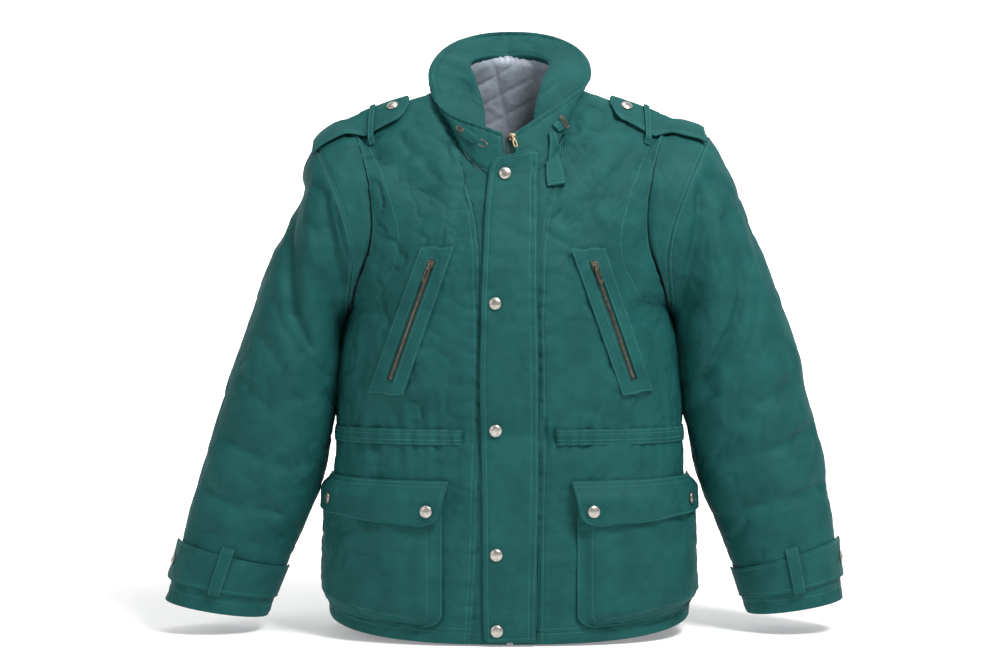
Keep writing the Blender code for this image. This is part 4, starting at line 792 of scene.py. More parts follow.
def uneven(arc, length, seed):
    """Wave along a seam whose puckers are never evenly spaced."""
    bend = (1.5 * np.sin(arc / (3.1 * length) + seed)
            + 0.9 * np.sin(arc / (1.13 * length) + 2.3 * seed))
    size = 0.65 + 0.35 * np.sin(arc / (4.7 * length) + 1.7 * seed)
    return np.sin(2 * math.pi * arc / length + bend) * size


def padding(points, amount, seed, grain=(1, 1, 1)):
    """Unrest of wadded cloth: soft swells, crumple lines and small wrinkles."""
    points = points * np.array(grain, dtype=float)
    swell = 1.5 * noise(points, 74, seed) + 0.8 * noise(points, 33, seed + 1)
    lines = noise(points, 58, seed + 2) + 0.35 * noise(points, 21, seed + 3)
    where = np.clip(0.55 + 1.2 * noise(points, 95, seed + 4), 0, 1)
    crumple = -1.7 * np.exp(-(lines / 0.085) ** 2) * where
    second = noise(points * np.array((1, 1, 1.5)), 36, seed + 5) + 0.3 * noise(points, 13, seed + 6)
    crumple += -0.85 * np.exp(-(second / 0.09) ** 2) * np.clip(1.1 - where, 0, 1)
    small = 0.30 * noise(points, 15, seed + 7)
    return amount * (swell + crumple + small)


def stops(near, far, total, cell):
    """Number of inner lines between the fixed lines at both ends."""
    return max(int(round((total - near[-1] - far[-1]) / cell)), 2)


def distances(near, far, inner, total):
    """Distance of every line from the start, where the whole is total long."""
    total = np.asarray(total, float)[..., None]
    fit = np.minimum(1, 0.94 * total / (near[-1] + far[-1]))
    start, end = np.array(near) * fit, total - np.array(far)[::-1] * fit
    share = np.arange(1, inner) / inner
    middle = start[..., -1:] + (end[..., :1] - start[..., -1:]) * share
    return np.concatenate((start, middle, end), axis=-1)


def seam_row(offset, pucker, start=0.0, end=1.0):
    """Row of stitches: distance from the edge, its span along it, and how much it puckers."""
    return offset, start, end, pucker


def edge_lines(stitches):
    lines = set(EDGE_LINES)
    for offset in stitches:
        lines |= {offset - 1.1, offset, offset + 1.1, offset + 3.4}
    kept = []
    for value in sorted(lines):
        if value in stitches:
            while kept and value - kept[-1] < 0.5 and kept[-1] > 0 and kept[-1] not in stitches:
                kept.pop()
            kept.append(value)
        elif value >= 0 and (not kept or value - kept[-1] >= 0.3):
            kept.append(value)
    return kept


def fill_gaps(lines, cell):
    """Put more lines between fixed ones that lie further apart than a cell."""
    full = [lines[0]]
    for value in lines[1:]:
        parts = max(int(round((value - full[-1]) / cell)), 1)
        full += [full[-1] + (value - full[-1]) * k / parts for k in range(1, parts)] + [value]
    return full


def lay_grid(point, cell, edges, ring):
    """Shares s, t of a grid whose lines keep real distances from the piece's edges."""
    across, along = np.meshgrid(TABLE, TABLE)
    spots = point(across, along)
    arc_s = np.concatenate((np.zeros((len(TABLE), 1)), np.cumsum(
        np.linalg.norm(np.diff(spots, axis=1), axis=2), axis=1)), axis=1)
    arc_t = np.concatenate((np.zeros((1, len(TABLE))), np.cumsum(
        np.linalg.norm(np.diff(spots, axis=0), axis=2), axis=0)), axis=0)
    near, far, low, top = (fill_gaps(edge_lines([line[0] for line in edges.get(word, ())]), cell)
                           for word in ("left", "right", "low", "top"))
    total_s, total_t = arc_s[:, -1], arc_t[-1]
    if ring:
        columns = int(total_s.max() / cell)
        share = np.arange(columns + 1) / columns
        wanted_s = total_s[:, None] * share
    else:
        wanted_s = distances(near, far, stops(near, far, total_s.max(), cell), total_s)
    wanted_t = distances(low, top, stops(low, top, total_t.max(), cell), total_t)
    by_row = np.array([np.interp(want, arc, TABLE) for want, arc in zip(wanted_s, arc_s)])
    by_column = np.array([np.interp(want, arc, TABLE) for want, arc in zip(wanted_t, arc_t.T)])
    t = np.repeat(by_column[len(TABLE) // 2][:, None], by_row.shape[1], axis=1)
    s = np.zeros(t.shape)
    for _ in range(4):
        for column in range(t.shape[1]):
            s[:, column] = np.interp(t[:, column], TABLE, by_row[:, column])
        for row in range(t.shape[0]):
            t[row] = np.interp(s[row], TABLE, by_column[:, row])
    return s, t


def running(points, axis):
    """Distance run along grid lines."""
    steps = np.linalg.norm(np.diff(points, axis=axis), axis=2)
    zero = np.zeros_like(np.take(steps, [0], axis=axis))
    return np.concatenate((zero, np.cumsum(steps, axis=axis)), axis=axis)


def normals(points, ring):
    """Outward direction at every grid point."""
    if ring:
        wrapped = np.concatenate((points[:, -2:-1], points, points[:, 1:2]), axis=1)
        across = wrapped[:, 2:] - wrapped[:, :-2]
    else:
        across = np.gradient(points, axis=1)
    along = np.gradient(points, axis=0)
    return unit(np.cross(across, along))


def mesh_object(name, points, faces, materials, chosen=None, uv=None, angle=60):
    """Mesh in metres from points in millimetres, closed and turned outward."""
    mesh = bpy.data.meshes.new(name)
    mesh.from_pydata((np.asarray(points) * MM).tolist(), [], np.asarray(faces).tolist()
                     if isinstance(faces, np.ndarray) else faces)
    mesh.update()
    for look in materials:
        mesh.materials.append(look)
    if chosen is not None:
        mesh.polygons.foreach_set("material_index", np.asarray(chosen, dtype=np.int32))
    if uv is not None:
        layer = mesh.uv_layers.new(name="cut")
        index = np.zeros(len(mesh.loops), dtype=np.int32)
        mesh.loops.foreach_get("vertex_index", index)
        layer.data.foreach_set("uv", (np.asarray(uv)[index] * MM).astype(np.float32).ravel())
    mesh.shade_smooth()
    mesh.set_sharp_from_angle(angle=math.radians(angle))
    thing = bpy.data.objects.new(name, mesh)
    bpy.context.scene.collection.objects.link(thing)
    return thing


def signed_volume(points, faces):
    a, b, c, d = (points[faces[:, k]] for k in range(4))
    return (np.einsum("ij,ij->i", a, np.cross(b, c))
            + np.einsum("ij,ij->i", a, np.cross(c, d))).sum()


def shell(name, outer, inner, looks, ring=False, kept=None, uv=None):
    """Closed wall between two grids; quads only."""
    if ring:
        outer, inner = outer[:, :-1], inner[:, :-1]
        uv = None if uv is None else uv[:, :-1]
    rows, columns = outer.shape[:2]
    number = np.arange(rows * columns).reshape(rows, columns)
    if ring:
        number = np.concatenate((number, number[:, :1]), axis=1)
    cells = np.ones((rows - 1, number.shape[1] - 1), dtype=bool) if kept is None else kept
    a, b = number[:-1, :-1], number[:-1, 1:]
    c, d = number[1:, 1:], number[1:, :-1]
    quads = np.stack((a, b, c, d), axis=-1)
    front = quads[cells]
    count = rows * columns
    back = front[:, ::-1] + count
    padded = np.pad(cells, 1)
    if ring:
        padded[:, 0], padded[:, -1] = padded[:, -2], padded[:, 1]
    rims = []
    for edge, (up, over) in enumerate(((0, 1), (1, 2), (2, 1), (1, 0))):
        beside = padded[up:up + cells.shape[0], over:over + cells.shape[1]]
        bare = quads[cells & ~beside]
        first, second = bare[:, edge], bare[:, (edge + 1) % 4]
        rims.append(np.stack((second, first, first + count, second + count), axis=-1))
    rims = np.concatenate(rims)
    faces = np.concatenate((front, back, rims))
    chosen = np.concatenate((np.zeros(len(front)), np.ones(len(back)), np.zeros(len(rims))))
    points = np.concatenate((outer.reshape(-1, 3), inner.reshape(-1, 3)))
    if uv is not None:
        uv = np.concatenate((uv.reshape(-1, 2), uv.reshape(-1, 2)))
    used = np.zeros(len(points), dtype=bool)
    used[faces.ravel()] = True
    renumber = np.cumsum(used) - 1
    faces, points = renumber[faces], points[used]
    if uv is not None:
        uv = uv[used]
    if signed_volume(points, faces) < 0:
        faces = faces[:, ::-1]
    return mesh_object(name, points, faces, looks, chosen, uv)


def stitch_row(line, facing, lift=0.1):
    """Points and faces of the stitches along one line of points."""
    arc = np.concatenate(([0], np.cumsum(np.linalg.norm(np.diff(line, axis=0), axis=1))))
    starts = np.arange(0.6, arc[-1] - STITCH_LENGTH, STITCH_LENGTH + STITCH_GAP)
    if not len(starts):
        return np.zeros((0, 3)), np.zeros((0, 4), dtype=int)

    def at(where, table):
        return np.stack([np.interp(where, arc, table[:, k]) for k in range(3)], axis=-1)

    first, last = at(starts, line), at(starts + STITCH_LENGTH, line)
    out = unit(at(starts + STITCH_LENGTH / 2, facing))
    run = unit(last - first)
    beside = unit(np.cross(run, out))
    middle = (first + last) / 2 + out * lift
    ring_first, ring_last = (middle + (end - middle) * 0.62 for end in (first, last))
    points = [first - out * 0.15]
    for centre in (ring_first, ring_last):
        for turn in range(4):
            angle = math.pi / 2 * turn
            points.append(centre + beside * 0.36 * math.cos(angle)
                          + out * (0.30 * math.sin(angle) + 0.08))
    points.append(last - out * 0.15)
    points = np.stack(points, axis=1).reshape(-1, 3)
    faces = []
    for turn in range(4):
        after = (turn + 1) % 4
        faces += [(0, 1 + after, 1 + turn), (1 + turn, 1 + after, 5 + after, 5 + turn),
                  (9, 5 + turn, 5 + after)]
    faces = [face + (face[-1],) if len(face) == 3 else face for face in faces]
    base = np.arange(len(starts))[:, None, None] * 10
    return points, (np.array(faces)[None] + base).reshape(-1, 4)


def stitches(name, rows_of_stitches):
    """One object of all the visible stitches of a piece."""
    points, faces, count = [], [], 0
    for line, facing in rows_of_stitches:
        found, sides = stitch_row(line, facing)
        points.append(found)
        faces.append(sides + count)
        count += len(found)
    if not count:
        return None
    points, faces = np.concatenate(points), np.concatenate(faces)
    clean = [tuple(face[:3]) if face[2] == face[3] else tuple(face) for face in faces.tolist()]
    thing = mesh_object(name, points, clean, (LOOKS["thread"],), angle=80)
    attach(thing, COAT)
    return thing


def cell_areas(points):
    """Area of every cell of a grid, in square millimetres."""
    return 0.5 * np.linalg.norm(np.cross(points[1:, 1:] - points[:-1, :-1],
                                         points[1:, :-1] - points[:-1, 1:]), axis=2)


def flat_size(points):
    """Longest line across and along a grid, in metres."""
    wide = float(running(points, 1)[:, -1].max()) * MM
    long = float(running(points, 0)[-1].max()) * MM
    return round(max(wide, SMALLEST_SHEET), 3), round(max(long, SMALLEST_SHEET), 3)


def cloth(name, outer, inner, cell=4.0, edges=None, unrest=0.0, relief=None, ring=False,
          roll=None, look="green_cloth", inside="grey_lining",
          seed=0, grain=(1, 1, 1), inner_follow=0.8):
    """One cloth piece as a fine closed shell.

    outer: point(s, t) in millimetres. inner: the same, or the wall's thickness where outer takes
    a lift. edges: rows of stitches by edge, left and right at s = 0 and 1, low and top at t = 0
    and 1. relief(s, t, base, away) adds height; away holds the distance from each edge.
    """
    edges = edges or {}
    s, t = lay_grid(outer, cell, edges, ring)
    base = outer(s, t)
    under = inner(s, t) if callable(inner) else outer(s, t, -inner)
    facing = normals(base, ring)
    if ring:
        facing[:, -1] = facing[:, 0]
    centre = base - under
    if np.einsum("ijk,ijk->", facing, centre) < 0:
        facing = -facing
    run_s, run_t = running(base, 1), running(base, 0)
    away = {"left": run_s, "right": run_s[:, -1:] - run_s,
            "low": run_t, "top": run_t[-1:] - run_t}
    if ring:
        away["left"] = away["right"] = np.full(run_s.shape, NO_EDGE)
    nearest = np.minimum.reduce(list(away.values()))
    calm = smooth(nearest / CALM_EDGE)
    raised = padding(base, unrest, seed, grain) * calm if unrest else np.zeros(s.shape)
    for word, lines in edges.items():
        gap = away[word]
        arc = run_t if word in ("left", "right") else run_s
        place_on = t if word in ("left", "right") else s
        for index, (offset, start, end, pucker) in enumerate(lines):
            ramp = (smooth((place_on - start) / ROW_FADE + 0.5)
                    * smooth((end - place_on) / ROW_FADE + 0.5))
            groove = -GROOVE_DEPTH * np.exp(-((gap - offset) / GROOVE_HALF) ** 2)
            waves = uneven(arc, PUCKER_PITCH, seed + 1.3 * index + len(word))
            spread_out = (np.exp(-(np.maximum(gap - offset, 0) / PUCKER_REACH) ** 2)
                          * smooth(gap / 2.5))
            raised = raised + ramp * (groove + pucker * waves * spread_out)
    if relief is not None:
        raised = raised + relief(s, t, base, away)
    wall = np.linalg.norm(centre, axis=2)
    roll = min(EDGE_ROLL, 0.5 * float(np.median(wall))) if roll is None else roll
    curl = np.clip(1 - nearest / roll, 0, 1)
    sink = (1 - np.sqrt(np.clip(1 - curl ** 2, 0, 1))) * EDGE_SINK
    into = unit(under - base) * (wall * sink)[..., None]
    shown = base + facing * raised[..., None] + into
    hidden = under + facing * (raised * inner_follow)[..., None] - into
    if ring:
        shown[:, -1], hidden[:, -1] = shown[:, 0], hidden[:, 0]
    uv = np.stack((run_s, run_t), axis=-1)
    looks = (LOOKS[look], LOOKS[inside])
    thing = shell(name, shown, hidden, looks, ring, uv=uv)
    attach(thing, COAT)
    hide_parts(name.removesuffix("_cloth"))
    rows_of_stitches = []
    for word, lines in edges.items():
        gap = away[word]
        for offset, start, end, _ in lines:
            if word in ("left", "right"):
                index = int(np.argmin(abs(gap[gap.shape[0] // 2] - offset)))
                line, way, spot_on = shown[:, index], facing[:, index], t[:, index]
            else:
                index = int(np.argmin(abs(gap[:, gap.shape[1] // 2] - offset)))
                line, way, spot_on = shown[index], facing[index], s[index]
            chosen = (spot_on >= start) & (spot_on <= end)
            if chosen.sum() > 2:
                rows_of_stitches.append((line[chosen], way[chosen]))
    thread = stitches(name.removesuffix("_cloth") + "_stitches", rows_of_stitches)
    flat = flat_size(shown)
    whole = flat[0] * flat[1]
    cut = min(float(cell_areas(shown).sum() * MM ** 2), whole)
    made_sheets.append((thing.name, flat, round(cut, 4)))


# ---- materials ----

def node(tree, kind, **values):
    made = tree.nodes.new(kind)
    for key, value in values.items():
        if key in made.inputs:
            made.inputs[key].default_value = value
        else:
            setattr(made, key, value)
    return made


def principled(name, colour, roughness, metallic=0.0, **more):
    look = bpy.data.materials.new(name)
    look.use_nodes = True
    shader = look.node_tree.nodes["Principled BSDF"]
    shader.inputs["Base Color"].default_value = (*colour, 1)
    shader.inputs["Roughness"].default_value = roughness
    shader.inputs["Metallic"].default_value = metallic
    for key, value in more.items():
        shader.inputs[key].default_value = value
    return look, look.node_tree, shader


def varied_colour(tree, shader, coords, dark, light, scale, detail=4.0, low=0.35, high=0.65):
    """Colour that drifts between two tones."""
    blotch = node(tree, "ShaderNodeTexNoise", Scale=scale, Detail=detail, Roughness=0.6)
    ramp = tree.nodes.new("ShaderNodeValToRGB")
    ramp.color_ramp.elements[0].position, ramp.color_ramp.elements[1].position = low, high
    ramp.color_ramp.elements[0].color, ramp.color_ramp.elements[1].color = (*dark, 1), (*light, 1)
    tree.links.new(coords, blotch.inputs["Vector"])
    tree.links.new(blotch.outputs["Fac"], ramp.inputs["Fac"])
    tree.links.new(ramp.outputs["Color"], shader.inputs["Base Color"])
    return ramp


def varied_roughness(tree, shader, coords, scale, low, high):
    cloud = node(tree, "ShaderNodeTexNoise", Scale=scale, Detail=3.0)
    spread_out = node(tree, "ShaderNodeMapRange")
    spread_out.inputs["To Min"].default_value, spread_out.inputs["To Max"].default_value = low, high
    tree.links.new(coords, cloud.inputs["Vector"])
    tree.links.new(cloud.outputs["Fac"], spread_out.inputs["Value"])
    tree.links.new(spread_out.outputs["Result"], shader.inputs["Roughness"])


def bumped(tree, shader, layers):
    """Chain of bumps: (height socket, strength, distance in metres)."""
    last = None
    for height, strength, distance in layers:
        bump = node(tree, "ShaderNodeBump", Strength=strength, Distance=distance)
        tree.links.new(height, bump.inputs["Height"])
        if last is not None:
            tree.links.new(last.outputs["Normal"], bump.inputs["Normal"])
        last = bump
    tree.links.new(last.outputs["Normal"], shader.inputs["Normal"])


def woven(name, dark, light, roughness, sheen, sheen_tint, pitch, weave_strength, crease_strength,
          specular=0.35):
    """Close twill: diagonal ribs crossed by fine yarns, over small wrinkles."""
    look, tree, shader = principled(name, light, roughness, **{
        "Sheen Weight": sheen, "Sheen Roughness": 0.42, "Sheen Tint": (*sheen_tint, 1),
        "Specular IOR Level": specular})
    coords = tree.nodes.new("ShaderNodeTexCoord")
    cut, whole = coords.outputs["UV"], coords.outputs["Object"]
    scale = 2 * math.pi / (20 * pitch)
    ribs = node(tree, "ShaderNodeTexWave", Scale=scale * 0.7, Distortion=0.6, wave_type="BANDS",
                bands_direction="DIAGONAL")
    yarns = node(tree, "ShaderNodeTexWave", Scale=scale, Distortion=0.3, wave_type="BANDS",
                 bands_direction="X")
    slub = node(tree, "ShaderNodeTexNoise", Scale=900.0, Detail=2.0)
    wrinkle = node(tree, "ShaderNodeTexNoise", Scale=80.0, Detail=3.0, Roughness=0.6)
    crumple = node(tree, "ShaderNodeTexNoise", noise_type="RIDGED_MULTIFRACTAL", normalize=True,
                   Scale=30.0, Detail=4.0, Roughness=0.5)
    for texture, where in ((ribs, cut), (yarns, cut), (slub, cut), (wrinkle, whole),
                           (crumple, whole)):
        tree.links.new(where, texture.inputs["Vector"])
    bumped(tree, shader, ((crumple.outputs["Fac"], crease_strength, 0.0055),
                          (wrinkle.outputs["Fac"], crease_strength, 0.0016),
                          (ribs.outputs["Fac"], weave_strength, 0.00016),
                          (yarns.outputs["Fac"], weave_strength * 0.6, 0.0001),
                          (slub.outputs["Fac"], weave_strength * 0.5, 0.0001)))
    varied_colour(tree, shader, whole, dark, light, 26.0)
    varied_roughness(tree, shader, whole, 60.0, roughness - 0.05, roughness + 0.07)
    return look


def metal(name, dark, light, roughness, scratch=0.12):
    look, tree, shader = principled(name, light, roughness, 1.0)
    coords = tree.nodes.new("ShaderNodeTexCoord")
    whole = coords.outputs["Object"]
    stretch = node(tree, "ShaderNodeMapping")
    stretch.inputs["Scale"].default_value = (1.0, 1.0, 9.0)
    tree.links.new(whole, stretch.inputs["Vector"])
    brushed = node(tree, "ShaderNodeTexNoise", Scale=700.0, Detail=3.0)
    tree.links.new(stretch.outputs["Vector"], brushed.inputs["Vector"])
    bumped(tree, shader, ((brushed.outputs["Fac"], scratch, 0.00008),))
    varied_colour(tree, shader, whole, dark, light, 260.0, low=0.3, high=0.6)
    varied_roughness(tree, shader, whole, 420.0, roughness - 0.07, roughness + 0.1)
    return look


def satin(name, dark, light):
    """Quilted lining: fine satin with its own small puckers."""
    look, tree, shader = principled(name, light, 0.38, **{
        "Sheen Weight": 0.25, "Sheen Roughness": 0.35, "Sheen Tint": (0.8, 0.85, 1.0, 1),
        "Specular IOR Level": 0.5})
    coords = tree.nodes.new("ShaderNodeTexCoord")
    cut, whole = coords.outputs["UV"], coords.outputs["Object"]
    weft = node(tree, "ShaderNodeTexWave", Scale=900.0, Distortion=0.5, wave_type="BANDS",
                bands_direction="Y")
    soft = node(tree, "ShaderNodeTexNoise", Scale=95.0, Detail=4.0, Roughness=0.6)
    tree.links.new(cut, weft.inputs["Vector"])
    tree.links.new(whole, soft.inputs["Vector"])
    bumped(tree, shader, ((soft.outputs["Fac"], 0.55, 0.0016), (weft.outputs["Fac"], 0.2, 0.00008)))
    varied_colour(tree, shader, whole, dark, light, 34.0)
    varied_roughness(tree, shader, whole, 80.0, 0.3, 0.48)
    return look


GREEN_DARK, GREEN_LIGHT = (0.0050, 0.064, 0.060), (0.0085, 0.084, 0.078)
LOOKS = {
    "green_cloth": woven("green_twill", GREEN_DARK, GREEN_LIGHT, 0.66, 0.03, (0.20, 0.80, 0.76),
                         0.0006, 0.5, 0.6, 0.15),
    "grey_lining": satin("grey_satin", (0.27, 0.31, 0.36), (0.35, 0.395, 0.45)),
    "tape": woven("zip_tape", (0.004, 0.030, 0.028), (0.007, 0.045, 0.042), 0.7, 0.15,
                  (0.4, 0.7, 0.7), 0.0009, 0.6, 0.05),
    "thread": woven("thread", (0.024, 0.150, 0.138), (0.034, 0.190, 0.175), 0.5, 0.3,
                    (0.5, 0.9, 0.85), 0.0004, 0.4, 0.05),
    "nickel": metal("nickel", (0.36, 0.34, 0.31), (0.56, 0.53, 0.48), 0.34),
    "gunmetal": metal("gunmetal", (0.10, 0.085, 0.065), (0.24, 0.205, 0.16), 0.36),
    "bronze": metal("bronze", (0.070, 0.060, 0.046), (0.19, 0.165, 0.125), 0.38),
    "brass": metal("brass", (0.050, 0.038, 0.022), (0.15, 0.115, 0.07), 0.36),
}


# ---- the cloth pieces ----

# Narrow creases on top of the main folds. columns: x0, z0, x1, z1, depth, half_width
FRONT_CREASES = {
    LEFT: (
        (146, -66, 106, -110, 2.2, 7), (120, -96, 96, -128, 1.6, 6), (172, -300, 140, -330, 2.0, 8),
        (150, -262, 168, -292, 1.8, 7), (188, -340, 200, -392, 1.8, 7),
        (92, -330, 98, -372, 1.4, 7),
        (120, -392, 160, -398, 1.6, 6), (70, -425, 120, -432, 1.6, 6),
        (178, -180, 168, -222, 1.3, 6),
        (62, -150, 74, -196, 1.3, 8), (66, -480, 70, -560, 1.6, 8), (62, -560, 72, -640, 1.3, 8),
    ),
    RIGHT: (
        (143, -78, 112, -92, 3.0, 7), (112, -92, 100, -105, 2.6, 6), (143, -114, 116, -140, 3.0, 7),
        (116, -140, 103, -165, 2.6, 7), (78, -180, 96, -160, 1.8, 6),
        (152, -250, 172, -290, 1.8, 8),
        (186, -336, 202, -392, 1.8, 7), (72, -340, 78, -392, 1.6, 7),
        (110, -400, 168, -408, 1.6, 6),
        (84, -428, 130, -436, 1.6, 6), (66, -480, 72, -545, 1.6, 8), (64, -570, 74, -650, 1.4, 8),
    ),
}
BACK_CREASES = {
    LEFT: (
        (70, -128, 112, -166, 2.2, 8), (40, -150, 66, -210, 1.6, 8), (156, -236, 174, -282, 2.2, 8),
        (112, -330, 150, -372, 1.6, 8), (60, -400, 120, -428, 1.8, 7), (46, -560, 56, -640, 1.8, 8),
        (150, -520, 160, -610, 1.6, 8), (96, -600, 104, -690, 1.4, 8),
    ),
    RIGHT: (
        (78, -118, 122, -154, 2.2, 8), (36, -170, 60, -236, 1.6, 8), (160, -244, 178, -292, 2.2, 8),
        (100, -320, 142, -362, 1.6, 8), (50, -408, 112, -430, 1.8, 7),
        (122, -546, 128, -632, 1.8, 8),
        (60, -540, 66, -610, 1.6, 8), (170, -560, 176, -660, 1.4, 8),
    ),
}
SLEEVE_CREASES = {
    LEFT: (
        (282, -133, 292, -184, 4.5, 6), (292, -184, 291, -245, 5.0, 6),
        (291, -245, 283, -301, 5.0, 6),
        (283, -301, 262, -346, 4.0, 6), (242, -149, 238, -186, 4.0, 5),
        (238, -186, 226, -230, 5.0, 6),
        (226, -230, 211, -270, 4.5, 6), (228, -164, 220, -210, 3.0, 5),
        (220, -210, 208, -238, 3.0, 5),
        (300, -150, 310, -205, 2.0, 7), (318, -268, 300, -318, 2.4, 7),
        (300, -318, 270, -356, 2.4, 7),
        (262, -365, 244, -384, 3.0, 6), (330, -330, 300, -372, 2.0, 7),
        (352, -392, 318, -425, 2.2, 7),
        (280, -410, 262, -428, 2.6, 6), (372, -470, 330, -494, 2.6, 7),
        (300, -500, 282, -520, 2.6, 6),
        (400, -536, 360, -556, 2.4, 6), (330, -560, 302, -566, 2.4, 6),
        (420, -588, 392, -592, 1.8, 5),
        (300, -535, 290, -555, 2.4, 5), (322, -578, 300, -600, 2.4, 6),
        (345, -600, 322, -612, 1.6, 5),
    ),
    RIGHT: (
        (283, -178, 304, -236, 5.0, 6), (304, -236, 307, -272, 5.0, 6),
        (307, -272, 296, -311, 5.0, 6),
        (296, -311, 277, -349, 4.5, 6), (277, -349, 255, -390, 4.0, 6),
        (250, -141, 247, -188, 4.5, 5),
        (247, -188, 234, -247, 5.0, 6), (234, -247, 226, -281, 4.0, 6),
        (262, -120, 280, -150, 2.4, 7),
        (322, -180, 334, -232, 2.2, 7), (330, -290, 318, -340, 2.4, 7),
        (318, -340, 290, -380, 2.4, 7),
        (372, -398, 330, -420, 2.6, 7), (268, -408, 250, -428, 3.0, 6),
        (392, -462, 340, -486, 2.8, 7),
        (300, -470, 272, -492, 2.6, 6), (412, -532, 372, -548, 2.6, 6),
        (340, -552, 308, -556, 2.4, 6),
        (430, -588, 398, -590, 1.8, 5), (312, -580, 300, -600, 2.4, 5),
        (350, -596, 326, -606, 1.6, 5),
    ),
}
WAIST_Z = -461.0
GATHER_REACH = 34.0    # how far the drawn-in waist's folds run up and down


def creased(base, table_left, table_right, fade):
    """Narrow creases by side, as a height that is never above the cloth."""
    x, z = base[..., 0], base[..., 2]
    both = np.where(x < 0, troughs(abs(x), z, table_left), troughs(abs(x), z, table_right))
    return -both * fade


def gathers(base):
    """Folds that the drawn-in waist sends up and down the panels."""
    x, y, z = (base[..., k] for k in range(3))
    round_waist = np.arctan2(x, -y) * WAIST_RADIUS
    gap = z - WAIST_Z
    reach = np.where(gap > 0, GATHER_REACH * 1.3, GATHER_REACH * 1.35)
    lean = round_waist + 0.10 * gap * np.sin(round_waist / 31.0)
    waves = uneven(lean, 14.0, 0.7) + 0.6 * uneven(lean, 27.0, 2.1)
    longer = 0.7 + 0.5 * np.sin(round_waist / 23.0 + 1.1)
    keep = np.exp(-(abs(gap) / (reach * longer)) ** 1.6)
    return (3.1 * waves - 1.2) * keep


def puckers(base, gap, depth, pitch=16.0, reach=15.0, seed=3):
    """Short creases that run away from a seam, unevenly spaced along it."""
    spot = base * np.array((0.35, 0.35, 1.0))
    place = base[..., 2] / pitch + 0.5 * noise(spot, 31, seed)
    near = abs(place - np.round(place)) * pitch
    strength = np.clip(0.5 + 1.5 * noise(spot, 23, seed + 1), 0, 1)
    length = reach * (0.6 + 0.8 * np.clip(0.5 + noise(spot, 41, seed + 2), 0, 1))
    return -1.5 * depth * np.exp(-(near / 3.8) ** 2) * strength * np.exp(-gap / length)


def under_arm(base):
    """Where the body's side and the sleeve's inner side swell against each other."""
    z = base[..., 2]
    return smooth((z + 462) / 50) * smooth((-292 - z) / 36)


def front_relief(side):
    def relief(s, t, base, away):
        x = abs(base[..., 0])
        keep = smooth((x - 36) / 18)
        fade = smooth(away["right"] / 14) * smooth(away["left"] / 10)
        seam = -1.3 * np.exp(-away["left"] / 4.0) - 1.5 * np.exp(-away["right"] / 3.5)
        seam = seam - 0.9 * np.exp(-away["top"] / 4.0)
        flange = 0.7 * np.exp(-((away["right"] - 12) / 9) ** 2) * smooth((t - 0.53) / 0.03)
        return (creased(base, FRONT_CREASES[LEFT], FRONT_CREASES[RIGHT], fade)
                + puckers(base, away["left"], 2.0, 21.0, 24.0, 5 + side)
                + puckers(base, away["right"], 1.8, 19.0, 19.0, 15 + side)
                + 4.8 * under_arm(base) * np.exp(-(away["right"] / 30.0) ** 2)
                + gathers(base) * keep + seam + flange)
    return relief


def row_t(row):
    return row / NECK_ROW


def front_pieces():
    for side, word in SIDES:
        def panel(s, t, lift=0.0):
            row = t * NECK_ROW
            first = turn_for_x(row, band_seam(side, row) - 0.1)
            return body(side, row, first + (EDGE_SHARE - first) * s, lift)

        edges = {
            "left": (seam_row(2.0, 0.35), seam_row(8.0, 0.25)),
            "right": (seam_row(2.4, 0.4, row_t(12.5)),
                      seam_row(25.0, 0.25, row_t(12.9), row_t(18.9))),
            "low": (seam_row(14.0, 0.3), seam_row(20.0, 0.2)),
            "top": (seam_row(2.4, 0.3),),
        }
        cloth(f"front_{word}_cloth", panel, SHELL, 4.3, edges,
              1.85, front_relief(side), seed=11 + side)

        def band(s, t, lift=0.0):
            row = t * NECK_ROW
            seam = band_seam(side, row)
            x = ZIP_HALF + (seam + 0.1 - ZIP_HALF) * s
            return body(side, row, turn_for_x(row, x), lift)

        edges = {"left": (seam_row(3.0, 0.15),), "right": (seam_row(2.2, 0.3),),
                 "low": (seam_row(14.0, 0.2),), "top": (seam_row(2.4, 0.2),)}

        def band_relief(s, t, base, away):
            return (-1.3 * np.exp(-away["right"] / 4.0) - 0.9 * np.exp(-away["top"] / 4.0)
                    + puckers(base, away["right"], 1.7, 21.0, 13.0, 25)
                    + 0.5 * gathers(base) * smooth((abs(base[..., 0]) - 34) / 10))

        cloth(f"band_{word}_cloth", band, SHELL, 4.0, edges, 0.5,
              band_relief, seed=21 + side)


# How far the collar's inner foot reaches into the neck, by turn. columns: turn, mm
FACING_REACH = (
    (0.0, 0), (0.2, 12), (0.4, 26), (0.6, 34), (0.8, 32), (1.0, 20), (1.25, 9), (1.6, 3), (2.0, 0),
)


def collar_inside(side, turn, height, lift, leaning, bulge=0.0):
    """Point of the collar's wall, leaned in towards the neck."""
    lean = np.interp(turn, *np.array(COLLAR_LEAN[side], dtype=float).T) * leaning * (1 - height)
    lean = lean + bulge * np.sin(math.pi * np.clip(height, 0, 1)) ** 0.8
    facing = np.interp(turn, *np.array(FACING_REACH, dtype=float).T) * (bulge > 0)
    lean = lean + facing * np.clip(1 - height, 0, 1) ** 1.4
    inward = -collar_outward(side, turn) * lean[..., None]
    return collar(side, turn, height, np.asarray(lift)[..., None]) + inward


